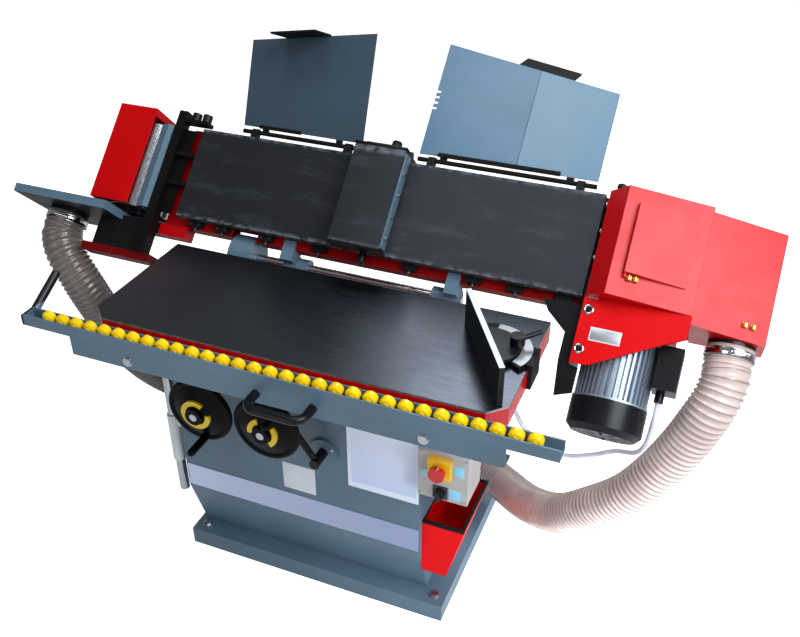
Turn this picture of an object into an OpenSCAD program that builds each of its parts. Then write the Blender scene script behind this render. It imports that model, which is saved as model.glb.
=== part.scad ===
// Edge sander with a tilting belt head, a height-adjustable table and a pull-out roller support.
// Frame: origin on the floor under the middle of the base plate, X to the right, Y to the back, Z up.

/* [Table] */
// Length of the table along the belt
table_l = 850; // [800:10:880]
// Depth of the table from front to back
table_d = 315; // [300:5:340]
// Height of the table top above the floor
table_h = 870; // [860:1:890]
// Height of the table's edge skirt
skirt_h = 45; // [40:1:50]
// Cut-off at each front corner of the table
corner_cut = 32; // [15:1:45]

/* [Roller support] */
// Diameter of one roller wheel
wheel_d = 28; // [24:1:30]
// Distance from wheel to wheel
wheel_pitch = 33; // [32:0.5:34]
// Number of wheels in the rail
wheel_count = 31; // [27:1:32]

/* [Head] */
// Tilt of the head at rest, 0 with the belt face upright
head_tilt = 45; // [40:1:50]
// Height of the belt platens
platen_h = 212; // [206:1:216]
// Diameter of the belt drums
drum_d = 150; // [140:1:152]
// Height of the cross stop in front of the platens
stop_depth = 42; // [30:1:45]
// Radius of the motor body
motor_r = 72; // [66:1:74]

/* [Stand] */
// Width of the base plate
base_w = 700; // [690:5:760]
// Depth of the base plate
base_d = 480; // [470:5:520]
// Height of the base plate
base_h = 50; // [40:1:55]
// Height from the pedestal's top up to the table top
lift_room = 250; // [248:1:255]

/* [Controls] */
// Diameter of the two handwheels
handwheel_d = 160; // [130:2:164]
// Diameter of the stop button's head
button_d = 36; // [28:1:40]

/* [Hoses] */
// Outside diameter of the dust hoses
hose_d = 94; // [92:1:98]
// Distance from one hose rib to the next
rib_pitch = 20; // [19:1:26]

/* [Hidden] */
$fn = 48;

blue_grey = "slategray";
dark = [0.09, 0.09, 0.1];
red = [0.75, 0.04, 0.06];

// Clearances: running fits, gaps between bodies, and the overrun of every cut
fit = 0.05;
gap = 0.5;
over = 1;
wall = 4;
sheet = 3;

// Places of the table: its middle, rear and front edges
table_x = 104;
table_rear = -167;
table_front = table_rear - table_d;
table_left = table_x - table_l / 2;
table_right = table_x + table_l / 2;
plate_t = 12;
skirt_z = table_h - skirt_h;
pedestal_top = table_h - lift_room;

// Tilt axis of the head, and where it lies in the head's own frame
pivot_back = 73;
pivot_drop = 42;
pivot_y = table_rear + pivot_back;
pivot_z = table_h - pivot_drop;
pivot_in = 70;
pivot_low = 45;
pivot_r = 10;

// Pedestal outline
ped_left = -335;
ped_right = 293;
ped_front = -240;
ped_rear = 120;
knee_drop = 410;
knee_z = pedestal_top - knee_drop;
toe_y = -190;

// Handwheel shafts
shaft_drop = 50;
shaft_z = pedestal_top - shaft_drop;
shaft_r = 9;
lift_x = -24;
tilt_x = -190;
wheel_y = -345;
gear_far = 26;
gear_near = 14;
gear_gap = 1;
screw_y = -205;
screw_r = 10;
screw_drop = 110;
screw_top = table_h - screw_drop;
worm_fore = 46;
worm_y = pivot_y - worm_fore;
worm_r = 9;
worm_shaft_r = 7;
worm_wheel_r = 36;
worm_wheel_w = 24;

module span(a, b) {
    translate(a) cube(b - a);
}

module rod_x(r, x0, x1, y, z) {
    translate([x0, y, z]) rotate([0, 90, 0]) cylinder(r = r, h = x1 - x0);
}

module rod_y(r, x, y0, y1, z) {
    translate([x, y1, z]) rotate([90, 0, 0]) cylinder(r = r, h = y1 - y0);
}

module rod_z(r, x, y, z0, z1) {
    translate([x, y, z0]) cylinder(r = r, h = z1 - z0);
}

// A round bar with chamfered ends from one point to another
module bar(a, b, r) {
    d = b - a;
    h = norm(d);
    c = r / 3;
    translate(a)
        rotate([0, acos(d.z / h), atan2(d.y, d.x)])
            rotate_extrude() polygon([[0, 0], [r - c, 0], [r, c], [r, h - c], [r - c, h], [0, h]]);
}

// Brings the head's own frame (belt face in the plane y = 0, its lower edge at z = 0) to its tilted place
module on_head() {
    translate([0, pivot_y, pivot_z])
        rotate([-head_tilt, 0, 0])
            translate([0, -pivot_in, pivot_low])
                children();
}

// Extrudes a (y, z) outline along X
module along_x(x0, x1) {
    translate([x0, 0, 0]) rotate([90, 0, 90]) linear_extrude(x1 - x0) children();
}

// Base plate: an upturned tray with a bolt hole near each corner
bolt_in = 28;
bolt_r = 6;
bolt_hole_r = 7;
base_skin = 6;

module base_bolts_at() {
    for (x = [-1, 1], y = [-1, 1])
        translate([x * (base_w / 2 - bolt_in), y * (base_d / 2 - bolt_in), 0]) children();
}

module base_plate() {
    color(blue_grey) difference() {
        span([-base_w / 2, -base_d / 2, 0], [base_w / 2, base_d / 2, base_h]);
        span([-base_w / 2 + base_skin, -base_d / 2 + base_skin, -over],
             [base_w / 2 - base_skin, base_d / 2 - base_skin, base_h - base_skin]);
        base_bolts_at() cylinder(r = bolt_hole_r, h = base_h + over);
    }
}

bolt_head_r = 10;
bolt_head_h = 8;
washer_r = 13;
washer_t = 2;
bolt_foot = 2;

module stand_bolts() {
    color("silver") base_bolts_at() {
        translate([0, 0, bolt_foot]) cylinder(r = bolt_r, h = base_h - bolt_foot);
        translate([0, 0, base_h]) cylinder(r = washer_r, h = washer_t);
        translate([0, 0, base_h + washer_t]) cylinder(r = bolt_head_r, h = bolt_head_h, $fn = 6);
    }
}

// Pedestal: a sheet shell open below, with shaft bores in its front and holes in its top
boss_r = 18;
boss_h = 16;
worm_hole_r = 11;
column_hole_r = 18;
right_column_x = 230;
column_y = -215;
lever_x = 57;
lever_drop = 120;
lever_z = shaft_z - lever_drop;
lever_r = 8;

function ped_outline(t) = [
    [ped_front + t, pedestal_top - t],
    [ped_rear - t, pedestal_top - t],
    [ped_rear - t, base_h - (t > 0 ? over : 0)],
    [toe_y + t, base_h - (t > 0 ? over : 0)],
    [ped_front + t, knee_z]
];

module pedestal() {
    color(blue_grey) difference() {
        union() {
            difference() {
                along_x(ped_left, ped_right) polygon(ped_outline(0));
                along_x(ped_left + wall, ped_right - wall) polygon(ped_outline(wall));
            }
            rod_z(boss_r, lift_x, screw_y, pedestal_top - boss_h, pedestal_top);
        }
        rod_y(shaft_r + fit, lift_x, ped_front - over, ped_front + wall + over, shaft_z);
        rod_y(shaft_r + fit, tilt_x, ped_front - over, ped_front + wall + over, shaft_z);
        rod_y(lever_r + fit, lever_x, ped_front - over, ped_front + wall + over, lever_z);
        rod_z(screw_r + fit, lift_x, screw_y, pedestal_top - boss_h - over, pedestal_top + over);
        rod_z(worm_hole_r, tilt_x, worm_y, pedestal_top - wall - over, pedestal_top + over);
        rod_z(column_hole_r, right_column_x, column_y, pedestal_top - wall - over, pedestal_top + over);
    }
}

// Trim strip and panel on the pedestal's front
strip_rise = 7;
strip_h = 68;
strip_z = [knee_z + strip_rise, knee_z + strip_rise + strip_h];
panel_x = [115, 288];
panel_drop = 18;
panel_h = 186;
panel_z = [shaft_z - panel_drop - panel_h, shaft_z - panel_drop];
plate_proud = 2;

module front_plates() {
    color("silver") {
        span([ped_left + wall, ped_front - plate_proud, strip_z[0]],
             [ped_right - wall, ped_front, strip_z[1]]);
        span([panel_x[0], ped_front - plate_proud, panel_z[0]], [panel_x[1], ped_front, panel_z[1]]);
    }
}

// Posts that carry the head's pivot shaft
post_d = 40;
post_left_x = [-60, -32];
post_right_x = [258, 290];

module post(x) {
    color(blue_grey) difference() {
        union() {
            span([x[0], pivot_y - post_d / 2, pedestal_top], [x[1], pivot_y + post_d / 2, pivot_z]);
            rod_x(post_d / 2, x[0], x[1], pivot_y, pivot_z);
        }
        rod_x(pivot_r + fit, x[0] - over, x[1] + over, pivot_y, pivot_z);
    }
}

module head_posts() {
    post(post_left_x);
    post(post_right_x);
}

// Tilt gearbox: a round housing over the worm wheel, a foot on the pedestal and a tube for the worm
box_r = 46;
box_w = 54;
box_wall = 6;
box_foot_d = 64;
worm_tube_r = 17;
worm_room_r = 11;
worm_half = 24;
worm_bore_top = pivot_z - worm_half;
worm_top = pivot_z + worm_half;

module tilt_gearbox() {
    x0 = tilt_x - box_w / 2;
    x1 = tilt_x + box_w / 2;
    color(blue_grey) difference() {
        union() {
            rod_x(box_r, x0, x1, pivot_y, pivot_z);
            span([x0, pivot_y - box_foot_d / 2, pedestal_top], [x1, pivot_y + box_foot_d / 2, pivot_z]);
            rod_z(worm_tube_r, tilt_x, worm_y, pedestal_top, worm_top + box_wall);
        }
        rod_x(box_r - box_wall, x0 + box_wall, x1 - box_wall, pivot_y, pivot_z);
        rod_x(pivot_r + fit, x0 - over, x1 + over, pivot_y, pivot_z);
        rod_z(worm_shaft_r + fit, tilt_x, worm_y, pedestal_top - over, worm_bore_top + over);
        rod_z(worm_room_r, tilt_x, worm_y, worm_bore_top, worm_top + gap);
    }
}

// Guide column sleeves: the left one outside the pedestal, the right one on its top
left_column_x = -372;
column_r = 12;
sleeve_r = 16;
sleeve_drop = 210;
sleeve_left_h = 140;
sleeve_left_z = [pedestal_top - sleeve_drop - sleeve_left_h, pedestal_top - sleeve_drop];
sleeve_right_h = 60;
arm_h = 30;

module column_sleeves() {
    color("whitesmoke") {
        difference() {
            union() {
                rod_z(sleeve_r, left_column_x, column_y, sleeve_left_z[0], sleeve_left_z[1]);
                span([left_column_x, column_y - sleeve_r / 2, sleeve_left_z[1] - arm_h],
                     [ped_left, column_y + sleeve_r / 2, sleeve_left_z[1]]);
            }
            rod_z(column_r + fit, left_column_x, column_y, sleeve_left_z[0] - over, sleeve_left_z[1] + over);
        }
        difference() {
            union() {
                rod_z(column_hole_r - gap, right_column_x, column_y, pedestal_top - sleeve_right_h,
                      pedestal_top);
                rod_z(column_hole_r + wall, right_column_x, column_y, pedestal_top, pedestal_top + wall);
            }
            rod_z(column_r + fit, right_column_x, column_y, pedestal_top - sleeve_right_h - over,
                  pedestal_top + wall + over);
        }
    }
}

// Dust manifold behind the pedestal: two hose spigots and one outlet
manifold_x = [-90, 150];
manifold_d = 114;
manifold_y = [ped_rear, ped_rear + manifold_d];
manifold_z = [90, 212];
hose_sides = 8;
rib_h = 4;
hose_wall = 2;
hose_bore = hose_d / 2 - rib_h - hose_wall;
spigot_r = hose_bore * cos(180 / hose_sides) - gap;
spigot_bore = spigot_r - sheet;
spigot_l = 60;
outlet_r = 60;
outlet_bore = 57;
outlet_l = 40;
port_y = (manifold_y[0] + manifold_y[1]) / 2;
port_z = (manifold_z[0] + manifold_z[1]) / 2;
outlet_x = (manifold_x[0] + manifold_x[1]) / 2;

module dust_manifold() {
    color(blue_grey) difference() {
        union() {
            span([manifold_x[0], manifold_y[0], manifold_z[0]],
                 [manifold_x[1], manifold_y[1], manifold_z[1]]);
            rod_x(spigot_r, manifold_x[0] - spigot_l, manifold_x[1] + spigot_l, port_y, port_z);
            rod_y(outlet_r, outlet_x, port_y, manifold_y[1] + outlet_l, port_z);
        }
        span([manifold_x[0] + sheet, manifold_y[0] + sheet, manifold_z[0] + sheet],
             [manifold_x[1] - sheet, manifold_y[1] - sheet, manifold_z[1] - sheet]);
        rod_x(spigot_bore, manifold_x[0] - spigot_l - over, manifold_x[1] + spigot_l + over, port_y, port_z);
        rod_y(outlet_bore, outlet_x, port_y, manifold_y[1] + outlet_l + over, port_z);
    }
}

// Switch box on the pedestal's right side
switch_w = 114;
switch_h = 128;
switch_drop = 20;
switch_x = [ped_right, ped_right + switch_w];
switch_y = [-262, -172];
switch_z = [shaft_z - switch_drop - switch_h, shaft_z - switch_drop];
button_in = 53;
button_drop = 33;
button_x = ped_right + button_in;
button_z = switch_z[1] - button_drop;
stem_r = 8;
knob_rise = 22;
knob_z = switch_z[0] + knob_rise;
knob_stem_r = 5;
gland_in = 96;
gland_x = ped_right + gland_in;
gland_y = -215;
gland_r = 9;
gland_l = 26;

module switch_box() {
    color("gainsboro") difference() {
        union() {
            span([switch_x[0], switch_y[0], switch_z[0]], [switch_x[1], switch_y[1], switch_z[1]]);
            rod_z(gland_r, gland_x, gland_y, switch_z[0] - gland_l, switch_z[0]);
        }
        span([switch_x[0] + sheet, switch_y[0] + sheet, switch_z[0] + sheet],
             [switch_x[1] - sheet, switch_y[1] - sheet, switch_z[1] - sheet]);
        rod_y(stem_r + fit, button_x, switch_y[0] - over, switch_y[0] + sheet + over, button_z);
        rod_y(knob_stem_r + fit, button_x, switch_y[0] - over, switch_y[0] + sheet + over, knob_z);
    }
}

trim_w = 52;
trim_h = 50;
trim_t = 16;
knob_plate = 34;
knob_plate_t = 3;

module switch_trim() {
    color("gold") {
        difference() {
            span([button_x - trim_w / 2, switch_y[0] - trim_t, button_z - trim_h / 2],
                 [button_x + trim_w / 2, switch_y[0], button_z + trim_h / 2]);
            rod_y(stem_r + fit, button_x, switch_y[0] - trim_t - over, switch_y[0] + over, button_z);
        }
        difference() {
            span([button_x - knob_plate / 2, switch_y[0] - knob_plate_t, knob_z - knob_plate / 2],
                 [button_x + knob_plate / 2, switch_y[0], knob_z + knob_plate / 2]);
            rod_y(knob_stem_r + fit, button_x, switch_y[0] - knob_plate_t - over, switch_y[0] + over, knob_z);
        }
    }
}

// Stop button: a mushroom head on a stem that slides into its housing
button_travel = 6;
button_h = 12;
stem_in = 20;

module e_stop() {
    y0 = switch_y[0] - trim_t - button_travel - gap;
    color("red") {
        rod_y(button_d / 2, button_x, y0 - button_h, y0, button_z);
        rod_y(stem_r, button_x, y0 - over, switch_y[0] + stem_in, button_z);
    }
}

// Rotary switch: a round knob with a pointer bar
dial_r = 13;
dial_t = 8;
pointer_w = 7;
pointer_t = 9;

module rotary_knob() {
    y0 = switch_y[0] - knob_plate_t - gap;
    color(dark) {
        rod_y(dial_r, button_x, y0 - dial_t, y0, knob_z);
        span([button_x - pointer_w / 2, y0 - dial_t - pointer_t, knob_z - dial_r],
             [button_x + pointer_w / 2, y0 - dial_t + over, knob_z + dial_r]);
        rod_y(knob_stem_r, button_x, y0 - over, switch_y[0] + stem_in, knob_z);
    }
}

// Tool bin on the right side: a tapered pocket open on top
bin_y = [-230, -45];
bin_h = 156;
bin_sink = 8;
bin_mid = (base_h + switch_z[0]) / 2 - bin_sink;
bin_z = [bin_mid - bin_h / 2, bin_mid + bin_h / 2];
bin_top_w = 102;
bin_foot_w = 62;

function bin_outline(t) = [
    [ped_right + t, bin_z[0] + t],
    [ped_right + bin_foot_w - t, bin_z[0] + t],
    [ped_right + bin_top_w - t, bin_z[1] + (t > 0 ? over : 0)],
    [ped_right + t, bin_z[1] + (t > 0 ? over : 0)]
];

// Round rod along the bin's edge
rim_r = 4;

module bin_rim() {
    x1 = ped_right + bin_top_w - rim_r;
    z = bin_z[1];
    rod_x(rim_r, ped_right, x1, bin_y[0] + rim_r, z);
    rod_x(rim_r, ped_right, x1, bin_y[1] - rim_r, z);
    rod_y(rim_r, x1, bin_y[0] + rim_r, bin_y[1] - rim_r, z);
    translate([x1, bin_y[0] + rim_r, z]) sphere(r = rim_r);
    translate([x1, bin_y[1] - rim_r, z]) sphere(r = rim_r);
}

module tool_bin() {
    color(red) {
        difference() {
            translate([0, bin_y[1], 0]) rotate([90, 0, 0])
                linear_extrude(bin_y[1] - bin_y[0]) polygon(bin_outline(0));
            translate([0, bin_y[1] - sheet, 0]) rotate([90, 0, 0])
                linear_extrude(bin_y[1] - bin_y[0] - 2 * sheet) polygon(bin_outline(sheet));
        }
        bin_rim();
    }
}

// Clamp lever for the table, in a round flange
flange_r = 35;
flange_t = 8;
lever_hub_r = 12;
lever_out = 46;
lever_arm = 100;
lever_angle = 124;
lever_bar_r = 8;
lever_tail = 30;

module lever_flange() {
    color(blue_grey) difference() {
        rod_y(flange_r, lever_x, ped_front - flange_t, ped_front, lever_z);
        rod_y(lever_r + fit, lever_x, ped_front - flange_t - over, ped_front + over, lever_z);
    }
}

module clamp_lever() {
    y0 = ped_front - flange_t - gap;
    tip = [lever_arm * cos(lever_angle), 0, lever_arm * sin(lever_angle)];
    hub = [lever_x, y0 - lever_out + lever_hub_r, lever_z];
    color(dark) {
        rod_y(lever_hub_r, lever_x, y0 - lever_out, y0, lever_z);
        rod_y(lever_r, lever_x, y0 - over, ped_front + lever_tail, lever_z);
        bar(hub, hub + tip, lever_bar_r);
    }
}

// Table: a plate with cut front corners and a skirt round its edge
skirt_t = 6;

function table_outline(t) = [
    [table_left + t, table_rear - t],
    [table_right - t, table_rear - t],
    [table_right - t, table_front + corner_cut],
    [table_right - corner_cut, table_front + t],
    [table_left + corner_cut, table_front + t],
    [table_left + t, table_front + corner_cut]
];

module table_top() {
    color(dark) difference() {
        translate([0, 0, skirt_z]) linear_extrude(skirt_h) polygon(table_outline(0));
        translate([0, 0, skirt_z - over])
            linear_extrude(skirt_h - plate_t + over) polygon(table_outline(skirt_t));
    }
}

// Carriage under the table: a cross beam, webs up to the plate, and the guides of the pull-out bars
beam_d = 50;
beam_h = 35;
beam_drop = 80;
beam_left_out = 20;
beam_right_out = 30;
beam_y = [column_y - beam_d / 2, column_y + beam_d / 2];
beam_z = [table_h - beam_drop - beam_h, table_h - beam_drop];
beam_x = [left_column_x - beam_left_out, right_column_x + beam_right_out];
web_t = 10;
web_x = [-120, 60, 200];
slide_x = [-208, 401];
slide_drop = 58;
slide_z = table_h - slide_drop;
slide_r = 10;
guide_w = 34;
guide_in = 14;
guide_sink = 17;
guide_y = [table_front + guide_in, beam_y[0] - wall];
guide_z = [slide_z - guide_sink, table_h - plate_t];
nut_r = 18;
nut_h = 32;
nut_flange_r = 24;
nut_flange_t = 6;
nut_sink = 8;
nut_z = beam_z[0] - nut_sink;

module table_carriage() {
    color(blue_grey) {
        difference() {
            union() {
                span([beam_x[0], beam_y[0], beam_z[0]], [beam_x[1], beam_y[1], beam_z[1]]);
                for (x = web_x)
                    span([x, beam_y[0], beam_z[1]], [x + web_t, beam_y[1], table_h - plate_t]);
            }
            rod_z(nut_r, lift_x, screw_y, beam_z[0] - over, beam_z[1] + over);
            rod_z(column_r, left_column_x, column_y, beam_z[0] - over, beam_z[1] + over);
            rod_z(column_r, right_column_x, column_y, beam_z[0] - over, beam_z[1] + over);
        }
        for (x = slide_x) difference() {
            span([x - guide_w / 2, guide_y[0], guide_z[0]], [x + guide_w / 2, guide_y[1], guide_z[1]]);
            rod_y(slide_r + fit, x, guide_y[0] - over, guide_y[1] + over, slide_z);
        }
    }
}

column_foot = 168;

module guide_columns() {
    color("silver") {
        rod_z(column_r, left_column_x, column_y, column_foot, beam_z[1]);
        rod_z(column_r, right_column_x, column_y, pedestal_top - sleeve_right_h - boss_h, beam_z[1]);
    }
}

module lift_nut() {
    color("goldenrod") difference() {
        union() {
            rod_z(nut_r, lift_x, screw_y, nut_z, nut_z + nut_h);
            rod_z(nut_flange_r, lift_x, screw_y, beam_z[0] - nut_flange_t, beam_z[0]);
        }
        rod_z(screw_r + fit, lift_x, screw_y, nut_z - over, nut_z + nut_h + over);
    }
}

// Mitre gauge on the right end of the table
gauge_in = 82;
gauge_back = 178;
gauge_x = table_right - gauge_in;
gauge_y = table_front + gauge_back;
gauge_r = 82;
gauge_t = 8;
gauge_hub_r = 14;
gauge_sector = [-33, 110];
gauge_steps = 6;
gauge_pin_r = 6;
gauge_top = table_h + gauge_t;
fence_angle = 31;
fence_off = 16.5;
fence_t = 10;
fence_h = 80;
fence_back = 92;
fence_fore = 166;
fence_foot = 1;
arm_t = 6;
arm_r = 57;
clip_in = 40;
clip_t = 8;
clip_w = 60;

// A flat slice of a disc between two angles
module sector(r, angles, z0, z1) {
    step = (angles[1] - angles[0]) / gauge_steps;
    intersection() {
        rod_z(r, 0, 0, z0, z1);
        translate([0, 0, z0]) linear_extrude(z1 - z0)
            polygon(concat([[0, 0]], [for (i = [0 : gauge_steps])
                2 * r * [cos(angles[0] + i * step), sin(angles[0] + i * step)]]));
    }
}

module gauge_base() {
    color(dark) difference() {
        union() {
            translate([gauge_x, gauge_y, 0]) sector(gauge_r, gauge_sector, table_h, gauge_top);
            rod_z(gauge_hub_r, gauge_x, gauge_y, table_h, gauge_top);
            span([gauge_x + clip_in, gauge_y - clip_w / 2, table_h],
                 [table_right + clip_t, gauge_y + clip_w / 2, gauge_top]);
            span([table_right, gauge_y - clip_w / 2, skirt_z],
                 [table_right + clip_t, gauge_y + clip_w / 2, gauge_top]);
        }
        rod_z(gauge_pin_r + fit, gauge_x, gauge_y, table_h - over, gauge_top + over);
    }
}

// The fence turns on a pin in the base, and a half disc joins the two
lock_h = 20;
lock_r = 14;
lock_arm = 48;
lock_bar_r = 5;
lock_angle = 37;
lock_in = [50, -10];
lock_at = [gauge_x, gauge_y] + [
    lock_in.x * cos(fence_angle) - lock_in.y * sin(fence_angle),
    lock_in.x * sin(fence_angle) + lock_in.y * cos(fence_angle)];

module gauge_fence() {
    link_z = [gauge_top + gap, gauge_top + gap + arm_t];
    color(dark) {
        translate([gauge_x, gauge_y, 0]) {
            rotate([0, 0, fence_angle]) {
                span([-fence_off - fence_t, -fence_fore, table_h + fence_foot],
                     [-fence_off, fence_back, table_h + fence_foot + fence_h]);
                intersection() {
                    rod_z(arm_r, 0, 0, link_z[0], link_z[1]);
                    span([-fence_off - over, -arm_r, link_z[0]], [arm_r, arm_r, link_z[1]]);
                }
            }
            rod_z(gauge_pin_r, 0, 0, table_h + fence_foot, link_z[0] + over);
        }
        rod_z(gauge_pin_r, lock_at.x, lock_at.y, link_z[0], link_z[1] + lock_h);
    }
}

module gauge_lock() {
    z0 = gauge_top + gap + arm_t + gap;
    hub = [lock_at.x, lock_at.y, z0 + lock_h / 2];
    tip = [lock_arm * cos(lock_angle), lock_arm * sin(lock_angle), lock_h / 2];
    color(dark) difference() {
        union() {
            rod_z(lock_r, lock_at.x, lock_at.y, z0, z0 + lock_h);
            bar(hub, hub + tip, lock_bar_r);
        }
        rod_z(gauge_pin_r + fit, lock_at.x, lock_at.y, z0 - over, z0 + lock_h + over);
    }
}

// Roller support in front of the table: channel, wheel rail, pull handle and the bars it slides on
rail_gap = 7;
rail_w = 32;
rail_y = [table_front - rail_gap - rail_w, table_front - rail_gap];
channel_h = 42;
wheel_proud = 1;
rail_sink = 7;
channel_left_out = 21;
channel_right_out = 18;
wheel_lead = 77;
rail_left_out = 52;
rail_right_out = 46;
wheel_z = table_h + wheel_proud - wheel_d / 2;
rail_z = wheel_z - wheel_d / 2 - rail_sink;
channel_x = [table_left - channel_left_out, table_right + channel_right_out];
wheel_x0 = table_left - wheel_lead;
rail_x = [wheel_x0 - rail_left_out, wheel_x0 + wheel_pitch * (wheel_count - 1) + rail_right_out];
axle_r = 3;
rail_h = wheel_z + axle_r - rail_z;
rail_t = 3;
wheel_w = 17;
wheel_round = 4;

module front_channel() {
    color(blue_grey) difference() {
        span([channel_x[0], rail_y[0], rail_z - channel_h], [channel_x[1], rail_y[1], rail_z]);
        span([channel_x[0] - over, rail_y[0] + wall, rail_z - channel_h + wall],
             [channel_x[1] + over, rail_y[1] + over, rail_z - wall]);
        for (x = slide_x) rod_y(slide_r / 2, x, rail_y[0] - over, rail_y[0] + wall + over, slide_z);
    }
}

stay_r = 9;
stay_out = 4;
stay_rise = 12;
stay_reach = 86;
stay_high = 59;
stay_foot = [rail_x[0] - stay_out, rail_y[1] + stay_out, rail_z + stay_rise];
stay_top = [rail_x[0] - stay_out, rail_y[1] + stay_reach, rail_z + stay_high];
end_t = 6;
end_h = 22;
end_back = 14;

module roller_rail() {
    color("dimgray") {
        difference() {
            span([rail_x[0], rail_y[0], rail_z], [rail_x[1], rail_y[1], rail_z + rail_h]);
            span([rail_x[0] - over, rail_y[0] + rail_t, rail_z + rail_t],
                 [rail_x[1] + over, rail_y[1] - rail_t, rail_z + rail_h + over]);
        }
        for (i = [0 : wheel_count - 1])
            rod_y(axle_r, wheel_x0 + i * wheel_pitch, rail_y[0] + rail_t - over, rail_y[1] - rail_t + over,
                  wheel_z);
        span([rail_x[0] - end_t, rail_y[0], rail_z], [rail_x[0], rail_y[1] + end_back, rail_z + end_h]);
        bar(stay_foot, stay_top, stay_r);
    }
}

module rail_wheels() {
    y0 = (rail_y[0] + rail_y[1] - wheel_w) / 2;
    color("gold") for (i = [0 : wheel_count - 1])
        translate([wheel_x0 + i * wheel_pitch, y0 + wheel_w, wheel_z])
            rotate([90, 0, 0])
                rotate_extrude() polygon([
                    [axle_r + fit, 0],
                    [wheel_d / 2 - wheel_round, 0],
                    [wheel_d / 2, wheel_round],
                    [wheel_d / 2, wheel_w - wheel_round],
                    [wheel_d / 2 - wheel_round, wheel_w],
                    [axle_r + fit, wheel_w]
                ]);
}

handle_w = 116;
handle_right = 26;
handle_x = [table_x + handle_right - handle_w / 2, table_x + handle_right + handle_w / 2];
handle_out = 45;
handle_r = 9;
handle_bend = 22;
handle_z = rail_z - channel_h / 2;

// One leg of the handle with its bend, the leg at x = 0 and the grip to its right
module handle_leg() {
    rod_y(handle_r, 0, -handle_out + handle_bend, 0, 0);
    translate([handle_bend, -handle_out + handle_bend, 0]) rotate([0, 0, 180])
        rotate_extrude(angle = 90) translate([handle_bend, 0]) circle(r = handle_r);
}

module pull_handle() {
    color(dark) {
        translate([handle_x[0], rail_y[0], handle_z]) handle_leg();
        translate([handle_x[1], rail_y[0], handle_z]) mirror([1, 0, 0]) handle_leg();
        rod_x(handle_r, handle_x[0] + handle_bend, handle_x[1] - handle_bend, rail_y[0] - handle_out,
              handle_z);
    }
}

bar_over = 6;
bar_rear = beam_y[0] + bar_over;
bolt_nose = 5;

module slide_bars() {
    color("silver") for (x = slide_x) {
        rod_y(slide_r, x, rail_y[0] + wall, bar_rear, slide_z);
        rod_y(slide_r / 2, x, rail_y[0] - over, rail_y[0] + wall + over, slide_z);
        rod_y(slide_r - over, x, rail_y[0] - bolt_nose, rail_y[0], slide_z);
    }
}

// Handwheels: a dished wheel with a hub and a crank grip
hub_r = 20;
hub_h = 34;
rim_section = 8;
dish = 14;
web_w = 7;
grip_r = 9;
grip_l = 62;

module handwheel(grip_angle) {
    r = handwheel_d / 2;
    rotate([90, 0, 0]) {
        rotate_extrude() translate([r - rim_section, 0]) circle(r = rim_section);
        rotate_extrude() polygon([
            [shaft_r, dish - hub_h / 2],
            [hub_r, dish - hub_h / 2],
            [hub_r, dish],
            [r - rim_section, -web_w / 2],
            [r - rim_section, web_w / 2],
            [hub_r, dish + web_w],
            [hub_r, dish + hub_h / 2],
            [shaft_r, dish + hub_h / 2]
        ]);
        rotate([0, 0, grip_angle]) translate([r - rim_section, 0, 0]) {
            cylinder(r = grip_r, h = grip_l);
            translate([0, 0, grip_l]) sphere(r = grip_r);
        }
    }
}

module lift_handwheel() {
    color(dark) translate([lift_x, wheel_y, shaft_z]) handwheel(grip_angle = 60);
}

module tilt_handwheel() {
    color(dark) translate([tilt_x, wheel_y, shaft_z]) handwheel(grip_angle = -85);
}

// One bevel gear of a pair whose axes cross; along +Z its big end comes first
module bevel() {
    cylinder(r1 = gear_far - gear_gap, r2 = gear_near - gear_gap, h = gear_far - gear_near);
}

module hand_shaft(x, cross_y) {
    color("silver") {
        rod_y(shaft_r, x, wheel_y - dish - hub_h / 2, cross_y - gear_near, shaft_z);
        translate([x, cross_y - gear_far, shaft_z]) rotate([-90, 0, 0]) bevel();
    }
}

module lift_shaft() {
    hand_shaft(lift_x, screw_y);
}

module tilt_shaft() {
    hand_shaft(tilt_x, worm_y);
}

module lift_screw() {
    color("silver") {
        rod_z(screw_r, lift_x, screw_y, shaft_z + gear_near, screw_top);
        translate([lift_x, screw_y, shaft_z + gear_far]) rotate([180, 0, 0]) bevel();
    }
}

module tilt_worm() {
    color("silver") {
        rod_z(worm_shaft_r, tilt_x, worm_y, shaft_z + gear_near, worm_top);
        rod_z(worm_r, tilt_x, worm_y, worm_bore_top + over, worm_top);
        translate([tilt_x, worm_y, shaft_z + gear_far]) rotate([180, 0, 0]) bevel();
    }
}

// Pivot shaft of the head with its worm wheel
lug_t = 28;
lug_gap = 1;
lug_left_x = post_left_x[0] - lug_gap - lug_t;
lug_right_x = post_right_x[1] + lug_gap;
pivot_out = 34;
pivot_x = [tilt_x - pivot_out, lug_right_x + lug_t + wall];
tooth_count = 40;
tooth_h = 4;
tooth_share = 0.5;

module pivot_shaft() {
    r0 = worm_wheel_r - tooth_h;
    tooth_w = tooth_share * 2 * PI * r0 / tooth_count;
    color("silver") {
        rod_x(pivot_r, pivot_x[0], pivot_x[1], pivot_y, pivot_z);
        rod_x(r0, tilt_x - worm_wheel_w / 2, tilt_x + worm_wheel_w / 2, pivot_y, pivot_z);
        translate([tilt_x - worm_wheel_w / 2, pivot_y, pivot_z]) rotate([0, 90, 0])
            for (i = [0 : tooth_count - 1])
                rotate([0, 0, i * 360 / tooth_count])
                    translate([r0 - over, -tooth_w / 2, 0])
                        cube([tooth_h + over, tooth_w, worm_wheel_w]);
    }
}

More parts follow.
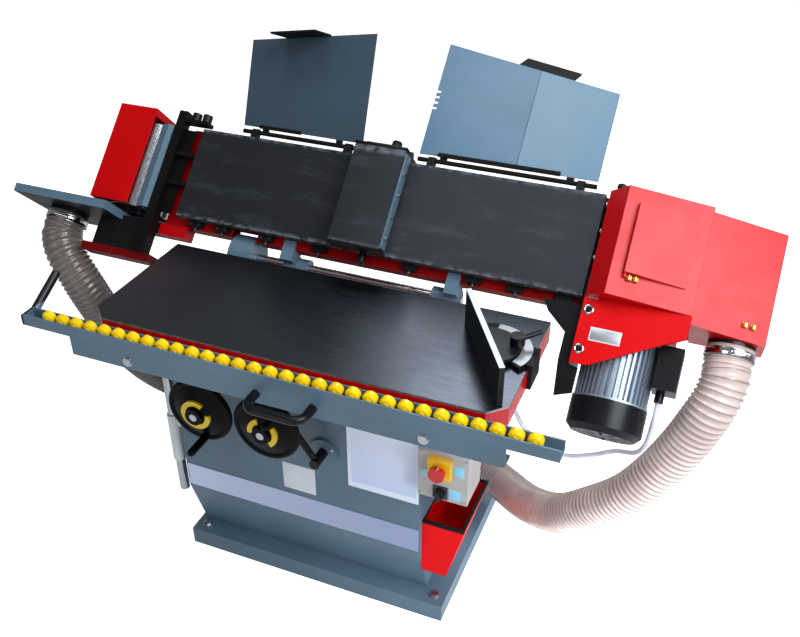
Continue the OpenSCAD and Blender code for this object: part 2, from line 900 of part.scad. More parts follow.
// Head, drawn upright in its own frame and tilted by on_head()
platen_t = 20;
platen_left_x = [-357, 94];
platen_right_x = [100, 572];
head_beam_y = [30, 66];
head_beam_x = [-396, 574];
head_beam_rise = 4;
head_beam_z = [-18, platen_h + head_beam_rise];
notch_gap = 5;
notch_z = 6;
lug_r = 22;
lug_front = platen_t + wall;
axis_y = drum_d / 2;
idler_x = -505;
drive_x = 664;
drum_in = 4;
drum_z = [drum_in, platen_h - drum_in];
axle_hole_r = 12;

module lug(x) {
    difference() {
        union() {
            rod_x(lug_r, x, x + lug_t, pivot_in, -pivot_low);
            span([x, lug_front, -pivot_low], [x + lug_t, head_beam_y[1], head_beam_z[0] + over]);
            span([x, lug_front, -pivot_low], [x + lug_t, head_beam_y[0] + over, -gap]);
        }
        rod_x(pivot_r, x - over, x + lug_t + over, pivot_in, -pivot_low);
    }
}

module head_beam() {
    color(red) on_head() {
        difference() {
            span([head_beam_x[0], head_beam_y[0], head_beam_z[0]],
                 [head_beam_x[1], head_beam_y[1], head_beam_z[1]]);
            span([head_beam_x[0] - over, head_beam_y[0] + wall, head_beam_z[0] + wall],
                 [head_beam_x[1] + over, head_beam_y[1] - wall, head_beam_z[1] - wall]);
            span([tilt_x - box_w / 2 - notch_gap, head_beam_y[0] - over, head_beam_z[0] - over],
                 [tilt_x + box_w / 2 + notch_gap, head_beam_y[1] + over, notch_z]);
        }
        lug(lug_left_x);
        lug(lug_right_x);
    }
}

module platen(x) {
    color(dark) on_head() span([x[0], 0, 0], [x[1], platen_t, platen_h]);
}

module platen_left() {
    platen(platen_left_x);
}

module platen_right() {
    platen(platen_right_x);
}

// Clamp blocks between the platens and the beam, each with a bolt head below
clamp_x = [-330, -262, -150, -20, 190, 330, 420, 520];
clamp_w = 34;
clamp_z = [-14, 26];
clamp_top_h = 26;
clamp_top_z = [platen_h - clamp_top_h, platen_h];
clamp_bolt_r = 6;
clamp_bolt_h = 5;

module platen_clamps() {
    color(dark) on_head() for (x = clamp_x) {
        span([x, platen_t, clamp_z[0]], [x + clamp_w, head_beam_y[0], clamp_z[1]]);
        span([x, platen_t, clamp_top_z[0]], [x + clamp_w, head_beam_y[0], clamp_top_z[1]]);
        rod_z(clamp_bolt_r - over, x + clamp_w / 2, (platen_t + head_beam_y[0]) / 2,
              clamp_z[0] - clamp_bolt_h, clamp_z[0]);
    }
}

// Drive frame at the right end: motor plate, side plate and the red front bracket
frame_x = [head_beam_x[1], 760];
frame_y = [6, 146];
frame_z = [-34, -20];
side_low = -150;
bracket_y = [-10, -2];
cover_left = 580;
bracket_x = [cover_left, 613, 736, 782];
bracket_z = [-46, -68, -134];
bracket = [
    [bracket_x[0], -gap],
    [bracket_x[3], -gap],
    [bracket_x[3], bracket_z[0]],
    [bracket_x[2], bracket_z[1]],
    [bracket_x[1], bracket_z[2]],
    [bracket_x[0], bracket_z[2]]
];
gusset_x = [500, 514, 556, 564, 576, 597];
gusset_z = [-41, -76, -131, -136, -140, -190, -202];
gusset = [
    [gusset_x[0], head_beam_z[0]],
    [gusset_x[4], head_beam_z[0]],
    [gusset_x[4], gusset_z[3]],
    [gusset_x[5], gusset_z[4]],
    [gusset_x[5], gusset_z[5]],
    [gusset_x[3], gusset_z[6]],
    [gusset_x[2], gusset_z[2]],
    [gusset_x[2], gusset_z[1]],
    [gusset_x[1], gusset_z[0]]
];
motor_shaft_r = 14;
side_h = 60;
side_high = head_beam_z[0] + side_h;

module drive_frame() {
    color(red) on_head() {
        difference() {
            union() {
                span([frame_x[0], frame_y[0], frame_z[0]], [frame_x[1], frame_y[1], frame_z[1]]);
                span([frame_x[0], frame_y[0], side_low], [frame_x[0] + wall, frame_y[1], side_high]);
            }
            rod_z(motor_shaft_r + gap, drive_x, axis_y, frame_z[0] - over, frame_z[1] + over);
        }
        translate([0, bracket_y[1], 0]) rotate([90, 0, 0])
            linear_extrude(bracket_y[1] - bracket_y[0]) polygon(bracket);
        span([bracket[0].x, bracket_y[1] - over, frame_z[0]], [bracket[1].x, frame_y[0] + over, frame_z[1]]);
        translate([0, frame_y[0] + wall, 0]) rotate([90, 0, 0]) linear_extrude(wall) polygon(gusset);
    }
}

// Drive drum on the motor's shaft, with the fan at the far end
drum_skin = 8;
shaft_low = -238;
fan_r = 58;
fan_z = [-228, -206];
motor_z = [-186, frame_z[0]];
drum_web = 12;
drum_recess = 84;

module drum(x, low, high, bore_r) {
    rod_z(bore_r, x, axis_y, low, high);
    difference() {
        rod_z(drum_d / 2, x, axis_y, drum_z[0], drum_z[1]);
        rod_z(drum_d / 2 - drum_skin, x, axis_y, drum_z[0] - over, drum_z[0] + drum_recess);
        rod_z(drum_d / 2 - drum_skin, x, axis_y, drum_z[1] - drum_recess, drum_z[1] + over);
    }
}

module drive_drum() {
    color("silver") on_head() {
        drum(drive_x, shaft_low, drum_z[1], motor_shaft_r);
        rod_z(fan_r, drive_x, axis_y, fan_z[0], fan_z[1]);
    }
}

// Motor body with cooling fins all round and the bore its rotor turns in
fin_count = 40;
fin_h = 9;
fin_w = 4;
motor_foot = 4;

module motor_body() {
    color("silver") on_head() translate([drive_x, axis_y, 0]) difference() {
        union() {
            rod_z(motor_r - fin_h, 0, 0, motor_z[0], motor_z[1]);
            rod_z(motor_r, 0, 0, motor_z[1] - drum_web, motor_z[1]);
            rod_z(cover_r, 0, 0, motor_z[0], motor_z[0] + motor_foot);
            for (i = [0 : fin_count - 1])
                rotate([0, 0, i * 360 / fin_count])
                    span([motor_r - fin_h - over, -fin_w / 2, motor_z[0] + motor_foot],
                         [motor_r - over, fin_w / 2, motor_z[1] - over]);
        }
        rod_z(motor_shaft_r + gap, 0, 0, motor_z[0] - over, motor_z[1] + over);
    }
}

// Fan cover: a cup with a grille of slots in its end
fan_cover_l = 64;
cover_r = motor_r + sheet - over;
cover_z = [motor_z[0] - fan_cover_l, motor_z[0]];
cover_edge = 12;
slot_count = 12;
slot_w = 6;
slot_r = [18, 56];

// A round bar whose lower end is cut off at a slant
module cup(r, z0, z1) {
    rotate_extrude() polygon([[0, z0], [r - cover_edge, z0], [r, z0 + cover_edge], [r, z1], [0, z1]]);
}

module fan_cover() {
    color(dark) on_head() translate([drive_x, axis_y, 0]) difference() {
        cup(cover_r, cover_z[0], cover_z[1]);
        cup(cover_r - sheet, cover_z[0] + sheet, cover_z[1] + over);
        for (i = [0 : slot_count - 1])
            rotate([0, 0, i * 360 / slot_count])
                span([slot_r[0], -slot_w / 2, cover_z[0] - over],
                     [slot_r[1], slot_w / 2, cover_z[0] + sheet + over]);
    }
}

// Terminal box on the motor's right side, with a cable gland below
term_w = 46;
term_fore = 44;
term_aft = 30;
term_gland_in = 17;
term_x = [drive_x + motor_r, drive_x + motor_r + term_w];
term_y = [axis_y - term_fore, axis_y + term_aft];
term_z = [-142, -56];
term_gland_x = drive_x + motor_r + term_gland_in;
term_gland_l = 20;

module terminal_box() {
    color(dark) on_head() {
        span([term_x[0], term_y[0], term_z[0]], [term_x[1], term_y[1], term_z[1]]);
        rod_z(gland_r, term_gland_x, axis_y, term_z[0] - term_gland_l, term_z[0]);
    }
}

// Drive cover: a bent sheet in front of the drive drum, closed on top
cover_low = 0;
cover_rise = 6;
cover_high = platen_h + cover_rise;
seam_x = 780;
ridge_x = 620;
cover_front = [-8, -56, -10];
fold_t = 10;
cover_shape = [[cover_left, cover_front[0]], [ridge_x, cover_front[1]], [seam_x, cover_front[2]]];
cover_rear = [
    [seam_x, cover_front[2] + fold_t],
    [ridge_x, cover_front[1] + fold_t],
    [cover_left + fold_t, cover_front[0]]
];
cover_side_in = 20;
back_y = 160;

module drive_cover() {
    color(red) on_head() {
        translate([0, 0, cover_low]) linear_extrude(cover_high - cover_low)
            polygon(concat(cover_shape, cover_rear));
        translate([0, 0, cover_high - sheet]) linear_extrude(sheet)
            polygon(concat(cover_shape, [[seam_x, back_y], [cover_shape[0].x, back_y]]));
        translate([0, 0, cover_low]) linear_extrude(sheet)
            polygon(concat(cover_shape, [[seam_x, bracket_y[1]], [cover_shape[0].x, bracket_y[1]]]));
        span([cover_shape[0].x, back_y - sheet, head_beam_z[0] + 2 * wall], [seam_x, back_y, cover_high]);
        span([cover_shape[0].x, head_beam_y[1] + cover_side_in, side_high + over],
             [cover_shape[0].x + sheet, back_y, cover_high]);
    }
}

// Wedge-shaped door on the drive cover, hinged along its left edge
door_x = [648, 760];
door_z = [46, 186];
door_gap = 1;
door_lift = 16;
door_pin_r = 4;

function cover_y(x) =
    cover_front[1] + (x - ridge_x) * (cover_front[2] - cover_front[1]) / (seam_x - ridge_x);

door_axis = [door_x[0], cover_y(door_x[0]) - door_gap - door_pin_r];

module drive_door() {
    a = [door_x[0], cover_y(door_x[0]) - door_gap];
    b = [door_x[1], cover_y(door_x[1]) - door_gap];
    color(red) on_head() {
        translate([0, 0, door_z[0]]) linear_extrude(door_z[1] - door_z[0])
            polygon([a, b, b - [0, sheet], a - [0, door_lift]]);
        rod_z(door_pin_r, door_axis.x, door_axis.y, door_z[0] - 2 * door_pin_r, door_z[1]);
    }
}

// Dust hood round the right side of the drive drum, with a round outlet below
hood_x = [seam_x, 921];
hood_front = 62;
hood_low = -14;
hood_out = [862, 96];
hood_flange_out = 8;
hood_flange_r = spigot_r + hood_flange_out;
hood_flange_t = 8;
hood_spigot_low = -52;

module hood_solid(t) {
    linear_extrude(platen_h - hood_low - 2 * t) polygon([
        [hood_x[0] + (t > 0 ? -over : 0), t],
        [hood_x[1] - t, hood_front + t],
        [hood_x[1] - t, back_y - t],
        [hood_x[0] + (t > 0 ? -over : 0), back_y - t]
    ]);
}

module dust_hood() {
    color(red) on_head() difference() {
        union() {
            translate([0, 0, hood_low]) hood_solid(0);
            rod_z(hood_flange_r, hood_out.x, hood_out.y, hood_low - hood_flange_t, hood_low);
            rod_z(spigot_r, hood_out.x, hood_out.y, hood_spigot_low, hood_low);
        }
        translate([0, 0, hood_low + sheet]) hood_solid(sheet);
        rod_z(spigot_bore, hood_out.x, hood_out.y, hood_spigot_low - over, hood_low + sheet + over);
    }
}

// Small end table under the idler drum, with a dust port below
end_x = [-768, -512];
end_y = [-46, 150];
end_z = [-30, -10];
end_port = [-676, 52];
end_spigot_low = -70;
end_rim = 26;
foot_x = [-590, -404];
foot_y = [20, 66];
foot_z = [-116, -98];
block_x = [-566, -432];
block_y = [24, 60];
end_arm_l = 60;
end_arm_x = head_beam_x[0] + end_arm_l;

module end_table() {
    color(blue_grey) on_head() {
        difference() {
            union() {
                span([end_x[0], end_y[0], end_z[0]], [end_x[1], end_y[1], end_z[1]]);
                rod_z(spigot_r, end_port.x, end_port.y, end_spigot_low, end_z[0]);
                rod_z(hood_flange_r, end_port.x, end_port.y, end_z[0] - hood_flange_t, end_z[0]);
            }
            rod_z(spigot_bore, end_port.x, end_port.y, end_spigot_low - over, end_z[1] + over);
        }
        span([end_x[1] - over, head_beam_y[0], head_beam_z[0] - end_rim],
             [end_arm_x, head_beam_y[1], head_beam_z[0]]);
        span([foot_x[0], foot_y[0], foot_z[0]], [foot_x[1], foot_y[1], foot_z[1]]);
        span([block_x[0], block_y[0], foot_z[1] - over], [block_x[1], block_y[1], end_z[0] + over]);
    }
}

// Tension frame: an upright column between the drum and the platens, with two cross bars and a deflector
column_x = [-430, -408];
column_front = [-6, 18];
column_top = 34;
column_z = [-96, platen_h + column_top];
shelf_t = 8;
shelf_z = platen_h + 2 * shelf_t;
cross_z = [70, 140];
cross_h = 10;
strip_x = [-468, -446, -434];
strip_y = [2, -8, -2];
strip_t = 3;
shield_x = -384;

module tension_frame() {
    color(dark) on_head() {
        span([column_x[0], column_front[0], column_z[0]], [column_x[1], column_front[1], column_z[1]]);
        for (z = cross_z)
            span([column_x[1] - over, 0, z], [platen_left_x[0], column_front[1], z + cross_h]);
        span([column_x[0], column_front[1] - over, cross_z[0]],
             [column_x[1], head_beam_y[1], cross_z[0] + cross_h]);
        span([column_x[0], head_beam_y[0], cross_z[0]],
             [head_beam_x[0], head_beam_y[1], cross_z[0] + cross_h]);
        translate([0, 0, drum_z[0]]) linear_extrude(drum_z[1] - drum_z[0])
            polygon(concat(
                [for (i = [0 : 2]) [strip_x[i], strip_y[i]]],
                [for (i = [2 : -1 : 0]) [strip_x[i], strip_y[i] + strip_t]]));
        span([strip_x[2] - over, strip_y[2], cross_z[0]],
             [column_x[0] + over, strip_y[2] + strip_t, cross_z[1]]);
        span([column_x[1] - over, column_front[1] - wall, drum_z[0]],
             [shield_x, column_front[1], drum_z[1]]);
        span([column_x[1] - over, column_front[0], shelf_z - shelf_t],
             [knob_x[1] + knob_r + sheet, column_front[1], shelf_z]);
    }
}

// Tension and tracking knobs on top of the frame
knob_x = [-388, -360];
knob_r = 11;
knob_h = 18;

module knob(x) {
    z0 = shelf_z + gap;
    y = (column_front[0] + column_front[1]) / 2;
    color(dark) on_head() rod_z(knob_r, x, y, z0, z0 + knob_h);
}

module tension_knob() {
    knob(knob_x[0]);
}

module tracking_knob() {
    knob(knob_x[1]);
}

// Idler fork, drum and cover; the fork slides along the beam's end to tension the belt
fork_lead = 20;
fork_end = -412;
fork_t = 4;
fork_rise = 3;
fork_top_t = 8;
fork_fore = 15;
fork_aft = 20;
fork_back = 3;
tongue_l = 76;
fork_x = [idler_x - fork_lead, fork_end];
fork_low = [-8, -2];
fork_high = [platen_h + fork_rise, platen_h + fork_rise + fork_top_t];
fork_bar_y = [axis_y - fork_fore, axis_y + fork_aft];
fork_back_y = axis_y - fork_back;
tongue_z = [105, 125];
tongue_y = [40, 56];
tongue_end = head_beam_x[0] + tongue_l;

module idler_fork() {
    r = axle_hole_r - over;
    color(dark) on_head() {
        difference() {
            union() {
                span([fork_x[0], fork_bar_y[0], fork_low[0]], [fork_x[1], fork_bar_y[1], fork_low[1]]);
                span([fork_x[0], fork_bar_y[0], fork_high[0]], [fork_x[1], fork_bar_y[1], fork_high[1]]);
            }
            rod_z(r + fit, idler_x, axis_y, fork_low[0] - over, fork_high[1] + over);
        }
        span([fork_x[1] - fork_t, fork_back_y, fork_low[0]], [fork_x[1], fork_bar_y[1], fork_high[1]]);
        span([fork_x[1] - fork_t, tongue_y[0], tongue_z[0]], [fork_x[1], fork_bar_y[1], tongue_z[1]]);
        span([fork_x[1] - fork_t, tongue_y[0], tongue_z[0]], [tongue_end, tongue_y[1], tongue_z[1]]);
    }
}

module idler_drum() {
    r = axle_hole_r - over;
    color("silver") on_head() drum(idler_x, fork_low[0], fork_high[1], r);
}

// Box-shaped cover over the outer half of the idler drum
shell_gap = 6;
shell_t = 3;
shell_in = 17;
shell_high = fork_high[1] + shell_in;

module idler_cover() {
    r = drum_d / 2 + shell_gap + shell_t;
    x = [idler_x - r, idler_x + shell_in];
    y = [axis_y - r, axis_y + r];
    color(red) on_head() difference() {
        span([x[0], y[0], drum_z[0]], [x[1], y[1], shell_high]);
        span([x[0] + shell_t, y[0] + shell_t, drum_z[0] - over], [x[1] + over, y[1] - shell_t, fork_high[1]]);
    }
}

// Guards: tapered panels on hinges along the top of the head
hinge_y = 12;
hinge_rise = 16;
hinge_z = platen_h + hinge_rise;
hinge_r = 5;
knuckle_r = 8;
guard_t = 3;
guard_left_x = [-263, 32];
guard_right_x = [163, 548];
guard_low = 12;
left_guard_h = [201, 245];
right_guard_h = [271, 205];
left_lean = 23;
left_grip_l = 83;
left_grip_shares = [0.29, 0.64];
right_grip_l = 55;
right_grip_shares = [0.416, 0.736];
right_grip_tilt = 45;
grip_t = 4;
crease_x = 376;
crease_w = 1.5;
crease_d = 1;
leaf_t = 5;
leaf_z = [10, 18];
left_leaf_x = [-221, -118];
right_leaf_x = [206, 470];
notch_count = 4;
notch_low = 116;
notch_step = 13;
notch_h = 6;
notch_d = 9;

// Hinge blocks on the beam and the pin each guard turns on
block_w = 16;
block_inset = 24;

module hinge_blocks(x) {
    for (x0 = [x[0] + block_inset, x[1] - block_inset - block_w]) difference() {
        union() {
            span([x0, hinge_y - knuckle_r, platen_h], [x0 + block_w, head_beam_y[1], head_beam_z[1] + wall]);
            span([x0, hinge_y - knuckle_r, platen_h], [x0 + block_w, hinge_y + knuckle_r, hinge_z]);
            rod_x(knuckle_r, x0, x0 + block_w, hinge_y, hinge_z);
        }
        rod_x(hinge_r + fit, x0 - over, x0 + block_w + over, hinge_y, hinge_z);
        span([x0 - over, head_beam_y[0] - gap, platen_h - over],
             [x0 + block_w + over, head_beam_y[1] + over, head_beam_z[1]]);
    }
}

// Pin of the cross stop, held by two blocks on the beam
module stop_pin() {
    x0 = stop_arm_x[0] - stop_gap - stop_block_w;
    x1 = stop_arm_x[1] + stop_gap;
    rod_x(stop_pin_r, x0, x1 + stop_block_w, stop_axis.x, stop_axis.y);
    for (x = [x0, x1]) {
        span([x, stop_axis.x - stop_pin_r, head_beam_z[1]], [x + stop_block_w, head_beam_y[1], stop_axis.y]);
        rod_x(2 * stop_pin_r, x, x + stop_block_w, stop_axis.x, stop_axis.y);
    }
}

module guard_hinges() {
    color(dark) on_head() {
        hinge_blocks(guard_left_x);
        hinge_blocks(guard_right_x);
        stop_pin();
    }
}

// A guard in the plane y = 0, standing on its hinge pin; h holds its heights at its two ends.
// Its grip is a strip along the top edge between two shares of its width, turned up from square by a tilt.
module guard(x, h, grip_shares, grip_l, grip_tilt, leaf_x) {
    grip = [for (t = grip_shares) [x[0] + t * (x[1] - x[0]), h[0] + t * (h[1] - h[0])]];
    edge = grip[1] - grip[0];
    rod_x(hinge_r, x[0], x[1], 0, 0);
    translate([0, guard_t / 2, 0]) rotate([90, 0, 0]) linear_extrude(guard_t)
        polygon([[x[0], guard_low], [x[1], guard_low], [x[1], h[1]], [x[0], h[0]]]);
    for (x0 = [x[0] + 2 * block_inset, x[1] - 2 * block_inset - block_w])
        span([x0, -guard_t / 2, 0], [x0 + block_w, guard_t / 2, guard_low + over]);
    translate([grip[0].x, 0, grip[0].y - over])
        rotate([0, -atan2(edge.y, edge.x), 0])
            rotate([grip_tilt, 0, 0])
                span([0, -guard_t / 2, -grip_t], [norm(edge), grip_l, 0]);
    span([leaf_x[0], -guard_t / 2 - leaf_t, leaf_z[0]], [leaf_x[1], 0, leaf_z[1]]);
}

module guard_left() {
    color(blue_grey) on_head() translate([0, hinge_y, hinge_z]) rotate([left_lean, 0, 0])
        guard(guard_left_x, left_guard_h, left_grip_shares, left_grip_l, 180, left_leaf_x);
}

// The right guard has a crease down its front and four notches in its left edge
module guard_right() {
    color(blue_grey) on_head() translate([0, hinge_y, hinge_z]) difference() {
        guard(guard_right_x, right_guard_h, right_grip_shares, right_grip_l, right_grip_tilt, right_leaf_x);
        span([crease_x - crease_w / 2, -guard_t / 2 - over, leaf_z[1] + over],
             [crease_x + crease_w / 2, -guard_t / 2 + crease_d, right_guard_h[0]]);
        for (i = [0 : notch_count - 1])
            span([guard_right_x[0] - over, -guard_t, notch_low + i * notch_step],
                 [guard_right_x[0] + notch_d, guard_t, notch_low + i * notch_step + notch_h]);
    }
}

// Cross stop in front of the platens, on a pivot over their top edge
stop_x = [38, 154];
stop_low = 3;
stop_rise = 12;
stop_top = platen_h + stop_rise;
stop_arm_t = 8;
stop_arm_sink = 2;
stop_pin_r = 5;
stop_axis = [24, stop_top + 2 * stop_pin_r];
stop_arm_x = [60, 132];
stop_gap = 1;
stop_block_w = 12;

module stop_bar() {
    y0 = -stop_gap - stop_depth;
    color(dark) on_head() {
        span([stop_x[0], y0, stop_low], [stop_x[1], -stop_gap, stop_top]);
        difference() {
            union() {
                span([stop_arm_x[0], y0 + wall, stop_top - stop_arm_sink],
                     [stop_arm_x[1], stop_axis.x, stop_top - stop_arm_sink + stop_arm_t]);
                rod_x(2 * stop_pin_r, stop_arm_x[0], stop_arm_x[1], stop_axis.x, stop_axis.y);
            }
            rod_x(stop_pin_r + fit, stop_arm_x[0] - over, stop_arm_x[1] + over, stop_axis.x, stop_axis.y);
        }
    }
}

// A point of the head's own frame at its tilted place
function head_point(p) = [
    p.x,
    pivot_y + (p.y - pivot_in) * cos(head_tilt) + (p.z + pivot_low) * sin(head_tilt),
    pivot_z - (p.y - pivot_in) * sin(head_tilt) + (p.z + pivot_low) * cos(head_tilt)
];

// A smooth curve through a list of points, with a number of steps between each two
function spline(p, i, t) =
    let (a = p[max(i - 1, 0)], b = p[i], c = p[i + 1], d = p[min(i + 2, len(p) - 1)])
    (2 * b + (c - a) * t + (2 * a - 5 * b + 4 * c - d) * t * t + (3 * b - a - 3 * c + d) * t * t * t) / 2;
function smooth(p, step) = concat(
    [for (i = [0 : len(p) - 2])
        let (n = max(1, round(norm(p[i + 1] - p[i]) / step)))
        for (k = [0 : n - 1]) spline(p, i, k / n)],
    [p[len(p) - 1]]);

// Rings round a route: the sideways direction stays square to a fixed hint
side_hint = [0.3, -0.9, 0.3];
function unit(v) = v / norm(v);
function heading(p, i) = unit(p[min(i + 1, len(p) - 1)] - p[max(i - 1, 0)]);
function ring(p, i, r, sides) =
    let (d = heading(p, i), u = unit(cross(d, side_hint)), v = cross(d, u))
    [for (k = [0 : sides - 1]) p[i] + r * (cos(k * 360 / sides) * u + sin(k * 360 / sides) * v)];
function skin(first, rings, sides, flip) = [
    for (j = [0 : rings - 2], k = [0 : sides - 1])
        let (a = first + j * sides + k, b = first + j * sides + (k + 1) % sides)
        flip ? [a, b, b + sides, a + sides] : [a, a + sides, b + sides, b]
];

// Ribbed hose with a bore: every second ring of its skin is a rib's valley
module hose(route) {
    path = smooth(route, rib_pitch / 2);
    n = len(path);
    s = hose_sides;
    outer = [for (i = [0 : n - 1]) each ring(path, i, hose_d / 2 - (i % 2) * rib_h, s)];
    inner = [for (i = [0 : n - 1]) each ring(path, i, hose_bore, s)];
    ends = [for (k = [0 : s - 1]) [k, (k + 1) % s, n * s + (k + 1) % s, n * s + k]];
    last = (n - 1) * s;
    caps = [for (k = [0 : s - 1])
        [last + (k + 1) % s, last + k, n * s + last + k, n * s + last + (k + 1) % s]];
    polyhedron(points = concat(outer, inner),
               faces = concat(skin(0, n, s, false), skin(n * s, n, s, true), ends, caps));
}

// Plain round cord
module cord(route, r, sides, step) {
    path = smooth(route, step);
    n = len(path);
    polyhedron(points = [for (i = [0 : n - 1]) each ring(path, i, r, sides)],
               faces = concat(skin(0, n, sides, false), [[for (k = [0 : sides - 1]) k]],
                              [[for (k = [sides - 1 : -1 : 0]) (n - 1) * sides + k]]));
}

// Routes of the soft pieces, from the head to the stand
hose_left_route = concat(
    [for (z = [end_z[0] - hood_flange_t - gap, -64, -90]) head_point([end_port.x, end_port.y, z])],
    [[-648, -166, 772], [-612, -164, 690], [-602, -116, 560], [-610, -40, 415], [-592, 50, 285]],
    [[-510, 130, 190], [-400, 170, 156]],
    [for (x = [-290, -190, manifold_x[0] - gap]) [x, port_y, port_z]]
);
hose_right_route = concat(
    [for (z = [hood_low - hood_flange_t - gap, -60, -95]) head_point([hood_out.x, hood_out.y, z])],
    [[846, -138, 720], [799, -148, 602], [731, -146, 480], [652, -118, 382], [576, -70, 292]],
    [[485, 14, 214], [392, 110, 166]],
    [for (x = [300, 225, manifold_x[1] + gap]) [x, port_y, port_z]]
);
cable_r = 5;
cable_route = concat(
    [for (z = [term_z[0] - term_gland_l, -176, -190]) head_point([term_gland_x, axis_y, z])],
    [[746, -185, 650], [726, -150, 590], [683, -120, 556], [634, -116, 526], [575, -112, 503]],
    [[520, -114, 520], [481, -118, 560], [452, -112, 602], [405, -95, 618], [350, -72, 585], [318, -60, 548]],
    [[ped_right + 12, -60, 540], [ped_right, -60, 540]]
);
cable_sides = 8;
cable_step = 24;

module hose_left() {
    color("rosybrown") hose(hose_left_route);
}

module hose_right() {
    color("rosybrown") hose(hose_right_route);
}

module motor_cable() {
    color("whitesmoke") cord(cable_route, cable_r, cable_sides, cable_step);
}

base_plate();
pedestal();
front_plates();
head_posts();
tilt_gearbox();
column_sleeves();
dust_manifold();
switch_box();
switch_trim();
tool_bin();
lever_flange();
stand_bolts();
table_top();
table_carriage();
guide_columns();
lift_nut();
gauge_base();
gauge_fence();
gauge_lock();
front_channel();
roller_rail();
rail_wheels();
pull_handle();
slide_bars();
lift_handwheel();
lift_shaft();
lift_screw();
tilt_handwheel();
tilt_shaft();
tilt_worm();
pivot_shaft();
head_beam();
platen_left();
platen_right();
platen_clamps();
drive_frame();
drive_cover();
drive_door();
dust_hood();
motor_body();
fan_cover();
terminal_box();
end_table();
tension_frame();
guard_hinges();
guard_left();
guard_right();
stop_bar();
idler_fork();
idler_cover();
idler_drum();
drive_drum();
tension_knob();
tracking_knob();
clamp_lever();
e_stop();
rotary_knob();
hose_left();
hose_right();
motor_cable();
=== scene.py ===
"""Looks of a floor-standing edge sander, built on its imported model."""

import functools
import math

import bmesh
import bpy
from mathutils import Matrix, Vector


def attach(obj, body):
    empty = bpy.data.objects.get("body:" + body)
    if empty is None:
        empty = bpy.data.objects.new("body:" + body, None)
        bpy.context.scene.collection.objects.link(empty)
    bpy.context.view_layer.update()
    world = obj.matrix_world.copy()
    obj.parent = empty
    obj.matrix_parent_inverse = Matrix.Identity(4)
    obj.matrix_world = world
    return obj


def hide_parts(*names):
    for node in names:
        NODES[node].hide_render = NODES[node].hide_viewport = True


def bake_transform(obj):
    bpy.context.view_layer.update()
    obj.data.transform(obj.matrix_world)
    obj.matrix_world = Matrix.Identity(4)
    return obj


bl_info = {
    "name": "Edge sander looks",
    "version": (1, 0, 0),
    "blender": (4, 5, 0),
    "location": "View3D > Sidebar > Edge sander",
    "description": "Dresses the packed model of an edge sander with finishes, hoses and fittings",
    "category": "Object",
}

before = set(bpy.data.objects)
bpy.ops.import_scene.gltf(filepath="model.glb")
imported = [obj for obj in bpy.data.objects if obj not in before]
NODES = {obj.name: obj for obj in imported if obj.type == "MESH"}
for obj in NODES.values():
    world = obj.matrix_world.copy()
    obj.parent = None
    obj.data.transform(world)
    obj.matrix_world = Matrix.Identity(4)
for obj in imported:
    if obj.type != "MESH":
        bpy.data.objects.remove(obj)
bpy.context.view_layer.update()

MM = 0.001
HEAD_TILT = math.radians(45)
PIVOT_Y = -94.0
PIVOT_Z = 828.0
PIVOT_IN = 70.0
PIVOT_LOW = 45.0

# Millimetres of the stand's frame, and of the head's own frame, to metres of the scene
STAND = Matrix.Scale(MM, 4)
HEAD = (
    STAND
    @ Matrix.Translation((0, PIVOT_Y, PIVOT_Z))
    @ Matrix.Rotation(-HEAD_TILT, 4, "X")
    @ Matrix.Translation((0, -PIVOT_IN, PIVOT_LOW))
)
TO_FRONT = Matrix.Rotation(math.radians(90), 4, "X")
ALONG_X = Matrix.Rotation(math.radians(90), 4, "Y")

# Directions that bolts point in
DOWN = (0, 0, -1)
FRONT = (0, -1, 0)
REAR = (0, 1, 0)
RIGHT = (1, 0, 0)

# The table's bare steel over its red skirt, in metres as all places of colours below
TABLE_EDGE = 0.8655
TABLE_TOP = 0.8698
TABLE_RIM = 0.0006

# The platens' rubbed lower and upper edges, where the painted shade on the facing's left side fades out, and
# the weave's threads
CLOTH_LOW = (0.010, 0.002)
CLOTH_HIGH = (0.203, 0.211)
CLOTH_SHADE_X = (0.2, 0.0)
CLOTH_THREADS = 2600.0

# The silver band under the panel on the stand's front, with the span of its painted sheen, and the panel's
# inner field
BAND_X = (-0.34, 0.3)
PANEL_FOOT = 0.33
FIELD_X = (0.124, 0.283)
FIELD_Z = (0.382, 0.538)
FIELD_FADE = (0.38, 0.54)

# Guards: their hinge in the head's frame, half their sheet, the hinge leaf's top, and the crease where the
# right guard's painted light changes, with half its line of painted shade
HINGE_UP = 0.228
HINGE_BACK = 0.012
LEFT_LEAN = math.radians(23)
SHEET_HALF = 0.0018
LEAF_TOP = 0.0115
CREASE_X = 0.376
CREASE_HALF = 0.0007

# Other places where a solid changes its colour: heights, places along the head, places along X
BOX_FOOT = 0.4215
SWITCH_PLATE_FOOT = 0.475
BIN_RIM = 0.3015
FENCE_RIM = 0.9505
RAIL_TOP = 0.8605
HOOD_FLANGE_TOP = -0.0145
# Below this height the end table's plate is painted dark, as painted shade on its underside
END_UNDERSIDE_SHADE = -0.0297
END_BLOCK_TOP = -0.0305
END_ARM_FOOT = -0.06
END_BAR_TOP = -0.0985
LUG_TOP = -0.0004
END_BLOCK_X = -0.5115
END_ARM_X = -0.4075
LEFT_LUG_X = (-0.0895, -0.0605)
RIGHT_LUG_X = (0.2905, 0.3195)
BEAM_ARM_X = 0.5735
GUSSET_X = 0.5985
TENSION_PLATE_X = -0.4335
STAY_X = -0.4501


def linear(r, g, b):
    """A screen colour, 0 to 255, as the linear colour that shaders take."""
    return tuple(
        c / 12.92 if c <= 0.04045 else ((c + 0.055) / 1.055) ** 2.4
        for c in (r / 255, g / 255, b / 255)
    )


# Settings


